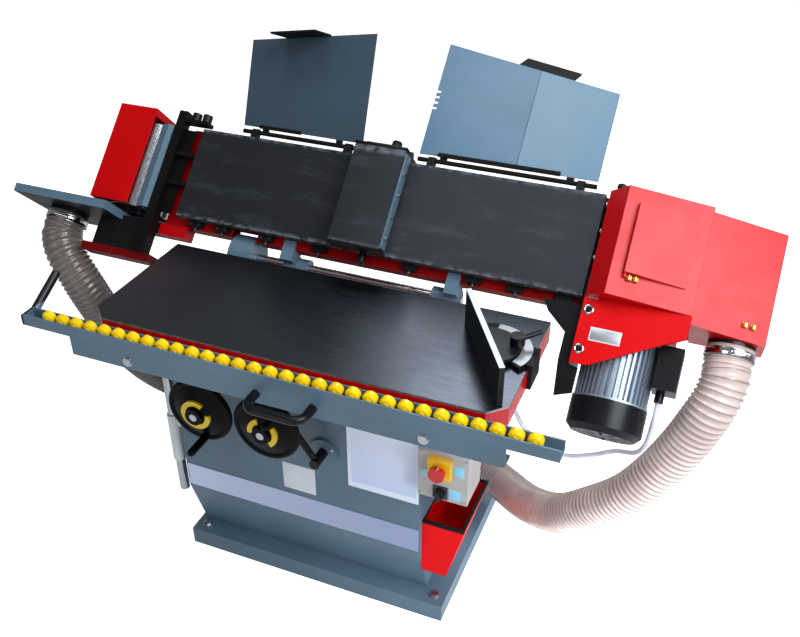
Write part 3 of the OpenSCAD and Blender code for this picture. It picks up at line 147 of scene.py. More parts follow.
class EdgeSanderSizes(bpy.types.PropertyGroup):
    """Sizes of the fittings that the scene adds."""

    rib_pitch: bpy.props.FloatProperty(
        name="Rib pitch", description="Distance between two turns of a hose's wire",
        default=0.0125, unit="LENGTH")
    rib_depth: bpy.props.FloatProperty(
        name="Rib depth", description="Depth of a hose's skin between two turns",
        default=0.0045, unit="LENGTH")
    hose_radius: bpy.props.FloatProperty(
        name="Hose radius", description="Outside radius of a dust hose",
        default=0.047, unit="LENGTH")
    hose_bore: bpy.props.FloatProperty(
        name="Hose bore", description="Inside radius of a dust hose",
        default=0.041, unit="LENGTH")
    lead_radius: bpy.props.FloatProperty(
        name="Lead radius", description="Radius of the motor's lead",
        default=0.005, unit="LENGTH")
    clamp_width: bpy.props.FloatProperty(
        name="Clamp width", description="Width of a hose clamp's band",
        default=0.014, unit="LENGTH")
    lens: bpy.props.FloatProperty(
        name="Lens", description="Focal length of the camera in millimetres",
        default=42.12, unit="CAMERA")


class EdgeSanderColours(bpy.types.PropertyGroup):
    """Main colours of the machine."""

    stand: bpy.props.FloatVectorProperty(
        name="Stand", description="Blue-grey paint of the stand and the guards",
        subtype="COLOR", default=linear(88, 111, 127))
    red: bpy.props.FloatVectorProperty(
        name="Red", description="Red paint of the beam and the covers",
        subtype="COLOR", default=linear(212, 2, 8))
    yellow: bpy.props.FloatVectorProperty(
        name="Yellow", description="Plastic of the rail wheels",
        subtype="COLOR", default=linear(252, 208, 4))
    table: bpy.props.FloatVectorProperty(
        name="Table", description="Dark ground steel of the table",
        subtype="COLOR", default=linear(92, 96, 104))
    cloth: bpy.props.FloatVectorProperty(
        name="Facing", description="Graphite cloth on the platens",
        subtype="COLOR", default=linear(46, 48, 53))
    hose: bpy.props.FloatVectorProperty(
        name="Hose", description="Translucent skin of the dust hoses",
        subtype="COLOR", default=linear(252, 231, 222))


def sizes():
    return bpy.context.scene.edge_sander_sizes


def colours():
    return bpy.context.scene.edge_sander_colours


# Nodes and finishes


class Value:
    """A node's output that takes part in Python sums."""

    def __init__(self, nodes, socket):
        self.nodes = nodes
        self.socket = socket

    def _math(self, operation, *values):
        return self.nodes.node("ShaderNodeMath", {"operation": operation}, *values)

    def output(self, name):
        """Another output of the same node."""
        return Value(self.nodes, self.socket.node.outputs[name])

    def __add__(self, other):
        return self._math("ADD", self, other)

    __radd__ = __add__

    def __sub__(self, other):
        return self._math("SUBTRACT", self, other)

    def __rsub__(self, other):
        return self._math("SUBTRACT", other, self)

    def __mul__(self, other):
        return self._math("MULTIPLY", self, other)

    __rmul__ = __mul__

    def __gt__(self, other):
        return self._math("GREATER_THAN", self, other)

    def __lt__(self, other):
        return self._math("LESS_THAN", self, other)

    def sine(self):
        return self._math("SINE", self)

    def either(self, other):
        return self._math("MAXIMUM", self, other)

    def between(self, low, high):
        return (self > low) * (self < high)


class Nodes:
    """A tree of nodes, with the one method that adds to it."""

    def __init__(self, tree):
        self.tree = tree

    def node(self, kind, settings=None, *values, out=0, **named):
        """Adds a node: first its settings, then its sockets in order, then its sockets by name."""
        made = self.tree.nodes.new(kind)
        for key, value in (settings or {}).items():
            setattr(made, key, value)
        for index, value in enumerate(values):
            self.set(made.inputs[index], value)
        for key, value in named.items():
            self.set(made.inputs[key.replace("_", " ").title()], value)
        return Value(self, made.outputs[out])

    def set(self, socket, value):
        """Links a value to a socket, or sets a constant."""
        if isinstance(value, Value):
            self.tree.links.new(value.socket, socket)
        elif socket.type == "RGBA" and len(value) == 3:
            socket.default_value = (*value, 1.0)
        else:
            socket.default_value = value


# Every finish by its name
FINISHES = {}


class Finish(Nodes):
    """One material: a shader, its constants and the patterns that feed it."""

    def __init__(self, name, **constants):
        self.material = bpy.data.materials.new(name)
        self.material.use_nodes = True
        super().__init__(self.material.node_tree)
        self.shader = self.tree.nodes["Principled BSDF"]
        for socket, value in constants.items():
            self.feed(socket.replace("_", " ").title().replace("Ior", "IOR"), value)
        FINISHES[name] = self

    def feed(self, socket, value):
        self.set(self.shader.inputs[socket], value)

    @functools.cached_property
    def place(self):
        return self.node("ShaderNodeTexCoord", out="Object")

    @functools.cached_property
    def axes(self):
        split = self.node("ShaderNodeSeparateXYZ", None, self.place)
        return [split.output(axis) for axis in "XYZ"]

    @functools.cached_property
    def head_height(self):
        """Height over the belt face's lower edge, measured along the tilted head, in metres."""
        _, y, z = self.axes
        c, s = math.cos(HEAD_TILT), math.sin(HEAD_TILT)
        return (y - PIVOT_Y * MM) * s + (z - PIVOT_Z * MM) * c - PIVOT_LOW * MM

    @functools.cached_property
    def head_depth(self):
        """Depth behind the belt face, square to the tilted head, in metres."""
        _, y, z = self.axes
        c, s = math.cos(HEAD_TILT), math.sin(HEAD_TILT)
        return (y - PIVOT_Y * MM) * c - (z - PIVOT_Z * MM) * s + PIVOT_IN * MM

    def stretched(self, scale):
        return self.node("ShaderNodeMapping", None, self.place, scale=scale)

    def noise(self, scale, detail=3.0, roughness=0.55, vector=None):
        return self.node("ShaderNodeTexNoise", None, vector=vector or self.place, scale=scale,
                         detail=detail, roughness=roughness)

    def mix(self, share, low, high):
        """One colour at share 0, the other at share 1; the node keeps its colours in sockets 6 and 7."""
        made = self.node("ShaderNodeMix", {"data_type": "RGBA"}, share, out=2)
        inputs = made.socket.node.inputs
        self.set(inputs[6], low)
        self.set(inputs[7], high)
        return made

    def ramp(self, value, low, high):
        """0 below low, 1 above high, and even in between."""
        return self.node("ShaderNodeMapRange", {"clamp": True}, value, low, high, 0.0, 1.0)

    def bump(self, height, strength, distance):
        self.feed("Normal", self.node("ShaderNodeBump", None, strength=strength, distance=distance,
                                      height=height))


def shade(colour, factor):
    return tuple(min(1.0, c * factor) for c in colour)


def tinted(colour, *factors):
    return tuple(min(1.0, c * factor) for c, factor in zip(colour, factors))


def blend_colour(a, b, share):
    return tuple(x + (y - x) * share for x, y in zip(a, b))


def patched(f, base, patches):
    """A base colour with patches of other colours, each under its own mask."""
    for other, mask in patches:
        base = f.mix(mask(f), base, other)
    return base


def paint(name, colour, roughness=0.38, coat=0.25, patches=(), specular=0.3, matt=None):
    """Stove paint: slight orange peel, cloudy gloss, a few pale scuffs, other colours and a matt area."""
    f = Finish(name, coat_roughness=0.2, specular_ior_level=specular)
    cloud = f.noise(5.0, 4.0)
    base = f.mix(f.ramp(cloud, 0.3, 0.7), shade(colour, 0.88), shade(colour, 1.1))
    scuff = f.ramp(f.noise(38.0, 8.0, 0.72), 0.66, 0.74) * f.ramp(f.noise(7.0, 2.0), 0.5, 0.62)
    base = f.mix(scuff * 0.35, base, blend_colour(colour, (0.6, 0.6, 0.6), 0.4))
    f.feed("Base Color", patched(f, base, patches))
    gloss = f.ramp(f.noise(22.0, 5.0), 0.25, 0.8) * 0.14 + (roughness - 0.05) + scuff * 0.2
    dull = matt(f) if matt else 0.0
    f.feed("Roughness", gloss + dull * 0.5)
    f.feed("Coat Weight", coat - dull * coat)
    f.bump(f.noise(420.0, 2.0) + f.noise(130.0, 2.0) * 0.6, 0.10, 0.0006)


def plastic(name, colour, roughness=0.4, grain=700.0, coat=0.0, patches=(), specular=0.4):
    """Moulded plastic with a fine spark-eroded grain."""
    f = Finish(name, coat_weight=coat, specular_ior_level=specular)
    wear = f.ramp(f.noise(12.0, 5.0), 0.35, 0.75)
    base = f.mix(wear, shade(colour, 0.9), shade(colour, 1.12))
    f.feed("Base Color", patched(f, base, patches))
    f.feed("Roughness", wear * 0.12 + (roughness - 0.06))
    f.bump(f.noise(grain, 2.0), 0.12, 0.0004)


def metal(name, colour, roughness=0.28, stretch=(1.0, 1.0, 1.0), grain=160.0, metallic=1.0):
    """Bare metal with turning or grinding lines along one way."""
    f = Finish(name, metallic=metallic)
    lines = f.noise(grain, 6.0, 0.7, f.stretched(stretch))
    cloud = f.noise(9.0, 3.0)
    f.feed("Base Color", f.mix(f.ramp(cloud, 0.3, 0.7), shade(colour, 0.86), shade(colour, 1.06)))
    f.feed("Roughness", f.ramp(lines, 0.3, 0.75) * 0.16 + (roughness - 0.07))
    f.bump(lines, 0.08, 0.0003)


def table_finish(steel_colour, skirt_colour):
    """Dark ground steel on top, red paint round the skirt."""
    f = Finish("ground_table", specular_ior_level=0.6)
    height = f.axes[2]
    top = height > TABLE_EDGE
    rim = f.ramp(height, TABLE_EDGE, TABLE_EDGE + TABLE_RIM) * (height < TABLE_TOP)
    lines = f.noise(26.0, 7.0, 0.7, f.stretched((1.0, 14.0, 1.0)))
    oil = f.ramp(f.noise(3.4, 4.0), 0.34, 0.68)
    scratch = f.ramp(f.noise(90.0, 4.0, 0.7, f.stretched((0.12, 3.0, 1.0))), 0.68, 0.74)
    steel = f.mix(oil, shade(steel_colour, 0.82), shade(steel_colour, 1.15))
    steel = f.mix(scratch * 0.15, steel, linear(150, 155, 165))
    steel = f.mix(rim, steel, linear(170, 176, 186))
    f.feed("Base Color", f.mix(top, shade(skirt_colour, 0.86), steel))
    f.feed("Metallic", top)
    f.feed("Roughness", f.ramp(lines, 0.3, 0.7) * 0.1 + 0.26 - oil * 0.05)
    f.bump(lines * 0.5 + f.noise(400.0, 2.0) * 0.3, 0.03, 0.0004)


def cloth_finish(colour):
    """Graphite cloth of the platens: a dense weave with rubbed streaks."""
    f = Finish("graphite_cloth", specular_ior_level=0.25)
    x = f.axes[0]
    up = f.head_height
    weave = (x * CLOTH_THREADS).sine() * (up * CLOTH_THREADS).sine()
    fibre = f.noise(240.0, 6.0, 0.75)
    rub = f.ramp(f.noise(16.0, 7.0, 0.72, f.stretched((0.5, 1.4, 1.4))), 0.52, 0.74)
    patch = f.ramp(f.noise(4.0, 3.0), 0.35, 0.7)
    # Painted shade: the facing is darker towards the left, where less light falls
    left_shade = f.ramp(x, *CLOTH_SHADE_X)
    base = f.mix(patch, shade(colour, 0.85), shade(colour, 1.08))
    base = f.mix(left_shade, base, shade(colour, 0.3))
    base = f.mix(rub * 0.2, base, linear(96, 100, 108))
    edge = f.ramp(up, *CLOTH_LOW) + f.ramp(up, *CLOTH_HIGH)
    base = f.mix(edge * f.ramp(f.noise(60.0, 5.0), 0.4, 0.62) * 0.6, base, linear(120, 124, 130))
    f.feed("Base Color", base)
    f.feed("Roughness", 0.62 - rub * 0.12 + f.ramp(fibre, 0.3, 0.7) * 0.1)
    f.bump(weave * 0.25 + fibre, 0.22, 0.0006)


def hose_finish(name, skin_colour, wire_colour, clear):
    """Translucent hose: a wire in a thin skin, read along the hose's own map."""
    f = Finish(name, transmission_weight=0.12, ior=1.4, coat_weight=0.5, coat_roughness=0.12,
               specular_ior_level=0.6)
    along = f.node("ShaderNodeUVMap", {"uv_map": "turns"})
    turns = f.node("ShaderNodeSeparateXYZ", None, along)
    wire = f.ramp((turns * (2 * math.pi)).sine(), 0.62, 0.97)
    soot = f.ramp(f.noise(11.0, 4.0), 0.3, 0.72)
    skin = f.mix(soot, shade(skin_colour, 0.78), skin_colour)
    f.feed("Base Color", f.mix(wire * 0.85, skin, wire_colour))
    f.feed("Roughness", 0.2 + soot * 0.12)
    f.feed("Alpha", clear + wire * (1.0 - clear))
    f.bump(f.noise(160.0, 3.0), 0.12, 0.0005)


def band_finish():
    """The silver band and the pale panel on the stand's front, both bare."""
    f = Finish("front_foil", coat_roughness=0.1, coat_weight=0.4)
    x, _, z = f.axes
    is_panel = z > PANEL_FOOT
    # Painted sheen: the band's silver is lighter at its left end and darker at its right
    painted_sheen = f.ramp(x + f.noise(4.0) * 0.1, *BAND_X)
    silver = f.mix(painted_sheen, linear(206, 220, 246), linear(150, 162, 196))
    field = x.between(*FIELD_X) * z.between(*FIELD_Z)
    pale = f.mix(f.ramp(z, *FIELD_FADE), linear(198, 212, 242), linear(222, 232, 250))
    panel = f.mix(field, linear(228, 236, 250), pale)
    f.feed("Base Color", f.mix(is_panel, silver, panel))
    f.feed("Metallic", 0.35 - is_panel * 0.3)
    f.feed("Roughness", 0.3 + f.noise(30.0, 4.0) * 0.1)


def guard_trim(lean):
    """Covers a guard's pin, its hinge leaf and its grip; lean is the guard's own angle to the head."""
    c, s = math.cos(lean), math.sin(lean)

    def mask(f):
        up = f.head_height - HINGE_UP
        back = f.head_depth - HINGE_BACK
        depth = back * c + up * s
        height = up * c - back * s
        return (depth > SHEET_HALF).either(depth < -SHEET_HALF).either(height < LEAF_TOP)

    return mask


def lugs(f):
    """Covers the two lugs under the beam."""
    x = f.axes[0]
    return x.between(*LEFT_LUG_X).either(x.between(*RIGHT_LUG_X)) * (f.head_height < LUG_TOP)


def make_finishes():
    c = colours()
    grey = tuple(c.stand)
    red = tuple(c.red)
    black = linear(17, 17, 19)

    # Paints of one colour
    paint("stand_paint", grey, 0.36, 0.2)
    paint("red_paint", red, 0.34, 0.08)
    # Painted shade: the idler cover on the left takes a darker copy of the red paint
    paint("idler_cover_shaded_paint", shade(red, 0.82), 0.4, 0.0, specular=0.12)
    paint("black_paint", black, 0.46, 0.02, specular=0.15)

    # Paints with patches
    paint("bin_paint", red, 0.4, 0.0, [(black, lambda f: f.axes[2] > BIN_RIM)], 0.12)
    paint("hood_paint", red, 0.34, 0.08, [(black, lambda f: f.head_height < HOOD_FLANGE_TOP)])
    paint("end_paint", grey, 0.4, 0.0, [
        # Painted shade on the end table's underside
        (linear(20, 22, 23), lambda f: f.head_height < END_UNDERSIDE_SHADE),
        (black, lambda f: (f.head_height < END_BLOCK_TOP).either(f.axes[0] > END_BLOCK_X)),
        (shade(red, 0.62), lambda f: (f.axes[0] > END_ARM_X) * (f.head_height > END_ARM_FOOT)),
        (shade(red, 0.2), lambda f: f.head_height < END_BAR_TOP)], 0.15)
    # Painted shade: the beam takes a dark copy of the red paint, for the shade under the platens
    paint("beam_shaded_paint", shade(red, 0.36), 0.42, 0.0, [
        (grey, lugs),
        (black, lambda f: f.axes[0] > BEAM_ARM_X)], 0.12)
    paint("drive_paint", red, 0.38, 0.0, [
        (black, lambda f: (f.axes[0] < GUSSET_X) * (f.head_depth > 0.0))], 0.14)
    # Painted shade: the left guard takes a darker copy of the stand's grey
    paint("left_guard_shaded_paint", shade(grey, 0.42), 0.45, 0.0, [(black, guard_trim(LEFT_LEAN))], 0.12)
    # Painted light: a cooler, lighter copy of the grey for the right guard's sheen, lighter still right of
    # the crease
    paint("right_guard_lit_paint", tinted(grey, 0.84, 1.04, 1.18), 0.36, 0.2, [
        (tinted(grey, 1.32, 1.42, 1.47), lambda f: f.axes[0] > CREASE_X),
        # Painted shade: a dark line along the crease
        (shade(grey, 0.25), lambda f: f.axes[0].between(CREASE_X - CREASE_HALF, CREASE_X + CREASE_HALF)),
        (linear(6, 6, 7), guard_trim(0.0))], matt=guard_trim(0.0))
    paint("fence_paint", black, 0.42, 0.1, [(linear(214, 222, 232), lambda f: f.axes[2] > FENCE_RIM)])
    paint("tension_paint", linear(8, 8, 9), 0.46, 0.0, [(grey, lambda f: f.axes[0] < TENSION_PLATE_X)], 0.15)
    paint("rail_paint", shade(grey, 1.05), 0.34, 0.2, [
        (black, lambda f: (f.axes[0] < STAY_X).either(f.axes[2] > RAIL_TOP))])

    # Plastics
    plastic("black_plastic", linear(14, 14, 16), 0.36, specular=0.25)
    plastic("handwheel_plastic", linear(5, 5, 6), 0.34, 500.0, specular=0.1)
    plastic("fan_plastic", linear(20, 21, 24), 0.3, 600.0, specular=0.22)
    plastic("yellow_plastic", tuple(c.yellow), 0.24, 300.0, 0.35)
    plastic("box_plastic", linear(176, 172, 170), 0.44, 800.0, 0.0, [
        (black, lambda f: f.axes[2] < BOX_FOOT)])
    plastic("switch_plastic", linear(245, 190, 10), 0.35, 600.0, 0.1, [
        (linear(52, 54, 58), lambda f: f.axes[2] < SWITCH_PLATE_FOOT)])
    plastic("button_red", linear(206, 20, 22), 0.26, 400.0, 0.4)
    plastic("pale_blue", linear(140, 205, 235), 0.4)
    plastic("sleeve_plastic", linear(226, 229, 231), 0.35)
    plastic("lead_plastic", linear(222, 222, 236), 0.4)
    plastic("white_plate", linear(214, 218, 224), 0.35)

    # Metals
    metal("bright_steel", linear(196, 199, 204), 0.26, (1.0, 1.0, 6.0))
    metal("drum_steel", linear(200, 203, 208), 0.22, (1.0, 0.2, 0.2), 220.0)
    metal("band_steel", linear(206, 209, 214), 0.14, grain=90.0)
    metal("motor_cast", linear(166, 178, 190), 0.42, grain=240.0, metallic=0.8)
    metal("dark_steel", linear(84, 86, 90), 0.34)
    metal("brass", linear(214, 170, 88), 0.24)
    metal("plate_silver", linear(186, 188, 192), 0.35, (1.0, 8.0, 1.0), 120.0, 0.7)

    # Surfaces with a pattern of their own
    table_finish(c.table, red)
    cloth_finish(c.cloth)
    band_finish()
    # Painted shade: the left hose takes a much darker copy of the hose's skin and wire, for the shadow it
    # sits in
    hose_finish("left_hose", shade(c.hose, 0.17), linear(128, 112, 104), 0.92)
    hose_finish("right_hose", tuple(c.hose), linear(150, 122, 112), 0.8)


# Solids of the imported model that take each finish
PAINTWORK = {
    "stand_paint": "base_plate pedestal head_posts tilt_gearbox dust_manifold lever_flange table_carriage "
                   "front_channel",
    "red_paint": "drive_cover drive_door",
    "idler_cover_shaded_paint": "idler_cover",
    "beam_shaded_paint": "head_beam",
    "drive_paint": "drive_frame",
    "black_paint": "platen_clamps guard_hinges idler_fork gauge_base",
    "fence_paint": "gauge_fence",
    "left_guard_shaded_paint": "guard_left",
    "right_guard_lit_paint": "guard_right",
    "bin_paint": "tool_bin",
    "hood_paint": "dust_hood",
    "end_paint": "end_table",
    "tension_paint": "tension_frame",
    "rail_paint": "roller_rail",
    "black_plastic": "clamp_lever rotary_knob tension_knob tracking_knob gauge_lock terminal_box pull_handle",
    "handwheel_plastic": "lift_handwheel tilt_handwheel",
    "fan_plastic": "fan_cover",
    "yellow_plastic": "rail_wheels",
    "switch_plastic": "switch_trim",
    "box_plastic": "switch_box",
    "button_red": "e_stop",
    "sleeve_plastic": "column_sleeves",
    "lead_plastic": "motor_cable",
    "bright_steel": "stand_bolts guide_columns slide_bars lift_shaft lift_screw tilt_shaft tilt_worm "
                    "pivot_shaft",
    "drum_steel": "idler_drum drive_drum",
    "motor_cast": "motor_body",
    "brass": "lift_nut",
    "ground_table": "table_top",
    "graphite_cloth": "platen_left platen_right stop_bar",
    "front_foil": "front_plates",
    "left_hose": "hose_left",
    "right_hose": "hose_right",
}


# Shapes


def add_object(name, data):
    made = bpy.data.objects.new(name, data)
    bpy.context.scene.collection.objects.link(made)
    return made


def mesh_object(name, shape, finish):
    """Makes a shape an object with one finish, its faces outward and smooth."""
    bmesh.ops.recalc_face_normals(shape, faces=shape.faces)
    data = bpy.data.meshes.new(name)
    shape.to_mesh(data)
    shape.free()
    data.polygons.foreach_set("use_smooth", [True] * len(data.polygons))
    data.materials.append(FINISHES[finish].material)
    return add_object(name, data)


def rounded(mesh, edges, radius):
    """Rounds edges of a mesh and gives the corners that this makes."""
    made = bmesh.ops.bevel(mesh, geom=list(edges), offset=radius, segments=2, affect="EDGES", profile=0.6)
    return made["verts"]


# Distance in millimetres within which corners are one, and the angle past which an edge stays sharp
SAME_PLACE = 1e-4
SHARP_ANGLE = math.radians(40)


class Work:
    """Shapes in millimetres of one frame, made into one piece of the scene."""

    def __init__(self, frame_matrix):
        self.mesh = bmesh.new()
        self.frame = frame_matrix

    def box(self, low, high, round_edge, matrix=None):
        low, high = Vector(low), Vector(high)
        made = bmesh.ops.create_cube(self.mesh, size=1.0)["verts"]
        for v in made:
            v.co = Vector((low[i] + (v.co[i] + 0.5) * (high[i] - low[i]) for i in range(3)))
        edges = dict.fromkeys(e for v in made for e in v.link_edges)
        made = rounded(self.mesh, edges, round_edge)
        if matrix is not None:
            for v in made:
                v.co = matrix @ v.co

    def lathe(self, profile, matrix, steps):
        """A closed outline of (radius, height) pairs turned round the matrix's own Z."""
        rings = []
        for k in range(steps):
            a = 2 * math.pi * k / steps
            rings.append([self.mesh.verts.new(matrix @ Vector((r * math.cos(a), r * math.sin(a), h)))
                          for r, h in profile])
        count = len(profile)
        for k in range(steps):
            here, after = rings[k], rings[(k + 1) % steps]
            for i in range(count):
                j = (i + 1) % count
                on_axis = profile[i][0] == 0 and profile[j][0] == 0
                if not on_axis:
                    self.mesh.faces.new((here[i], after[i], after[j], here[j]))

    def prism(self, outline, depth, matrix, round_edge):
        """An outline in the matrix's XY plane, raised along its Z, with a rounded upper rim."""
        low = [self.mesh.verts.new(matrix @ Vector((x, y, 0.0))) for x, y in outline]
        high = [self.mesh.verts.new(matrix @ Vector((x, y, depth))) for x, y in outline]
        self.mesh.faces.new(list(reversed(low)))
        self.mesh.faces.new(high)
        for i in range(len(low)):
            j = (i + 1) % len(low)
            self.mesh.faces.new((low[i], low[j], high[j], high[i]))
        rim = dict.fromkeys(e for v in high for e in v.link_edges if e.other_vert(v) in high)
        rounded(self.mesh, rim, round_edge)

    def piece(self, name, finish, body, slot):
        bmesh.ops.remove_doubles(self.mesh, verts=self.mesh.verts, dist=SAME_PLACE)
        self.mesh.transform(self.frame)
        made = mesh_object(name, self.mesh, finish)
        made.data.set_sharp_from_angle(angle=SHARP_ANGLE)
        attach(made, body)


# Degrees of a ring's arc, and shares of a route's span, to one point
ARC_STEP = 6
SPAN_STEPS = 48
# Rings of a tube's outside to one ring of its bore
BORE_ROWS = 4


def arc_outline(outer, inner, start, end):
    """Outline of a flat ring between two angles in degrees."""
    steps = round((end - start) / ARC_STEP)
    angles = [math.radians(start + (end - start) * k / steps) for k in range(steps + 1)]
    return ([(outer * math.cos(a), outer * math.sin(a)) for a in angles]
            + [(inner * math.cos(a), inner * math.sin(a)) for a in reversed(angles)])


def travel(points):
    """Running length at each point of a path."""
    run = [0.0]
    for a, b in zip(points, points[1:]):
        run.append(run[-1] + (b - a).length)
    return run


def frames_along(points):
    """Heading and two sideways directions at each point, turning as little as they can."""
    count = len(points)
    heads = [(points[min(i + 1, count - 1)] - points[max(i - 1, 0)]).normalized() for i in range(count)]
    side = heads[0].orthogonal().normalized()
    made = []
    for d in heads:
        side = (side - d * side.dot(d)).normalized()
        made.append((d, side, d.cross(side)))
    return made


def add_tube(mesh, points, radius, sides, inside=None, layer=None, turn=None):
    """A tube along points; radius takes the running length and the angle. With inside it has a bore."""
    run = travel(points)
    axes = frames_along(points)

    def ring(i, r_of):
        _, u, v = axes[i]
        made = []
        for k in range(sides):
            a = 2 * math.pi * k / sides
            made.append(mesh.verts.new(points[i] + (u * math.cos(a) + v * math.sin(a)) * r_of(run[i], a)))
        return made

    def skin(first, second, i, j, flip):
        for k in range(sides):
            m = (k + 1) % sides
            quad = [first[k], first[m], second[m], second[k]]
            face = mesh.faces.new(reversed(quad) if flip else quad)
            if layer is not None:
                spots = {first[k]: (i, k), first[m]: (i, k + 1), second[k]: (j, k), second[m]: (j, k + 1)}
                for loop in face.loops:
                    row, column = spots[loop.vert]
                    loop[layer].uv = (run[row] / turn - column / sides, column / sides)

    outer = [ring(i, radius) for i in range(len(points))]
    for i in range(len(points) - 1):
        skin(outer[i], outer[i + 1], i, i + 1, False)
    if inside is None:
        mesh.faces.new(list(reversed(outer[0])))
        mesh.faces.new(outer[-1])
        return
    rows = [*range(0, len(points) - 1, BORE_ROWS), len(points) - 1]
    inner = [ring(i, inside) for i in rows]
    for n in range(len(rows) - 1):
        skin(inner[n], inner[n + 1], rows[n], rows[n + 1], True)
    skin(inner[0], outer[0], 0, 0, False)
    skin(outer[-1], inner[-1], len(points) - 1, len(points) - 1, False)


def curve_through(route, step):
    """Points about step apart on a smooth curve through the route's points."""
    fine = []
    for i in range(len(route) - 1):
        a, b = route[max(i - 1, 0)], route[i]
        c, d = route[i + 1], route[min(i + 2, len(route) - 1)]
        for k in range(SPAN_STEPS):
            t = k / SPAN_STEPS
            fine.append((2 * b + (c - a) * t + (2 * a - 5 * b + 4 * c - d) * t ** 2
                         + (3 * b - a - 3 * c + d) * t ** 3) / 2)
    fine.append(route[-1])
    run = travel(fine)
    count = round(run[-1] / step)
    even, j = [], 0
    for n in range(count + 1):
        want = run[-1] * n / count
        while j < len(run) - 2 and run[j + 1] < want:
            j += 1
        span = run[j + 1] - run[j]
        even.append(fine[j].lerp(fine[j + 1], 0.0 if span == 0 else (want - run[j]) / span))
    return even


def head_points(*places):
    return [HEAD @ Vector(p) for p in places]


def stand_points(*places):
    return [STAND @ Vector(p) for p in places]


# Middles of the ports that the hoses fit on: across the head, and across the stand
END_PORT = (-676, 52)
HOOD_PORT = (862, 96)
MANIFOLD_PORT = (177, 151)

# Points, in millimetres, that the hoses and the motor's lead follow
HOSE_ROUTES = {
    "left": head_points(*[(*END_PORT, z) for z in (-38.5, -64, -90)])
    + stand_points((-648, -166, 772), (-612, -164, 690), (-602, -116, 560), (-610, -40, 415), (-592, 50, 285),
                   (-510, 130, 190), (-400, 170, 156), *[(x, *MANIFOLD_PORT) for x in (-290, -190, -90.5)]),
    "right": head_points(*[(*HOOD_PORT, z) for z in (-22.5, -60, -95)])
    + stand_points((846, -138, 720), (799, -148, 602), (731, -146, 480), (652, -118, 382), (576, -70, 292),
                   (485, 14, 214), (392, 110, 166), *[(x, *MANIFOLD_PORT) for x in (300, 225, 150.5)]),
}
LEAD_ROUTE = head_points((753, 75, -162), (753, 75, -176), (753, 75, -190)) + stand_points(
    (746, -185, 650), (726, -150, 590), (683, -120, 556), (634, -116, 526), (575, -112, 503),
    (520, -114, 520), (481, -118, 560), (452, -112, 602), (405, -95, 618), (350, -72, 585),
    (318, -60, 548), (305, -60, 540), (293, -60, 540))

# Points to a turn of a hose's wire, sides of a hose and of the lead, and the lead's points in metres
TURN_POINTS = 5
HOSE_SIDES = 40
LEAD_SIDES = 14
LEAD_STEP = 0.012

# How deep inside a hose's outside its path starts and ends, in metres
HELD_WITHIN = 0.035


def cord_piece(name, points, diameter, node, finish, fill):
    """A hose or lead as a mesh tube along its points from the head to the stand."""
    work = bmesh.new()
    fill(work)
    made = mesh_object(name, work, finish)
    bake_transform(made)
    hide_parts(node)
    # A wide hose is held at its rim, so the ends of its path lie beside its axis
    axes = frames_along(points)
    near = max(0.0, diameter / 2 - HELD_WITHIN)
    start = points[0] + axes[0][1] * near
    end = points[-1] + axes[-1][1] * near
    travel(points)[-1]


# Bolts by Geometry Nodes


BOLT_TREE = "washer_bolts"
WASHER_SIDES = 24

# The bolts' inputs, sizes in metres, with their usual values and those of each group
BOLT_INPUTS = ("Head Radius", "Head Height", "Washer Radius", "Washer Height", "Sides")
USUAL_BOLT = (0.006, 0.004, 0.0085, 0.0012, 6.0)
BOLT_GROUPS = {
    "platen_clamp_bolts": (0.0046, 0.005, 0.006, 0.0012, 6.0),
    "clamp_face_bolts": (0.0036, 0.003, 0.005, 0.0012, 6.0),
    "channel_bolts": (0.0075, 0.004, 0.0105, 0.0012, 16.0),
    "flange_screws": (0.004, 0.0022, 0.0045, 0.0012, 14.0),
    "end_plate_bolts": (0.004, 0.0025, 0.0055, 0.0012, 6.0),
    "switch_box_screws": (0.0026, 0.0012, 0.0032, 0.0012, 12.0),
    "rail_wheel_hubs": (0.0042, 0.0014, 0.0075, 0.0008, 6.0),
    "stop_strip_bolts": (0.004, 0.0025, 0.0055, 0.0012, 6.0),
}


def cylinder(nodes, sides, radius, height, foot):
    """A cylinder that stands on its foot's height."""
    shape = nodes.node("GeometryNodeMeshCylinder", vertices=sides, radius=radius, depth=height)
    place = nodes.node("ShaderNodeCombineXYZ", z=height * 0.5 + foot)
    return nodes.node("GeometryNodeTransform", geometry=shape, translation=place)


def bolt_tree():
    """A head on a washer at each point, turned to the point's own direction."""
    tree = bpy.data.node_groups.new(BOLT_TREE, "GeometryNodeTree")
    face = tree.interface
    face.new_socket("Geometry", in_out="INPUT", socket_type="NodeSocketGeometry")
    for label, value in zip(BOLT_INPUTS, USUAL_BOLT):
        face.new_socket(label, in_out="INPUT", socket_type="NodeSocketFloat").default_value = value
    face.new_socket("Finish", in_out="INPUT", socket_type="NodeSocketMaterial")
    face.new_socket("Geometry", in_out="OUTPUT", socket_type="NodeSocketGeometry")

    nodes = Nodes(tree)
    points = nodes.node("NodeGroupInput")
    given = points.output
    washer = cylinder(nodes, WASHER_SIDES, given("Washer Radius"), given("Washer Height"), 0.0)
    head = cylinder(nodes, given("Sides"), given("Head Radius"), given("Head Height"), given("Washer Height"))
    bolt = nodes.node("GeometryNodeJoinGeometry", None, washer)
    nodes.set(bolt.socket.node.inputs[0], head)
    out = nodes.node("GeometryNodeInputNamedAttribute", {"data_type": "FLOAT_VECTOR"}, name="out")
    turn = nodes.node("FunctionNodeAlignRotationToVector", {"axis": "Z"}, vector=out)
    spread = nodes.node("GeometryNodeInstanceOnPoints", points=points, instance=bolt, rotation=turn)
    real = nodes.node("GeometryNodeRealizeInstances", None, spread)
    coat = nodes.node("GeometryNodeSetMaterial", geometry=real, material=given("Finish"))
    result = tree.nodes.new("NodeGroupOutput")
    nodes.set(result.inputs[0], coat)


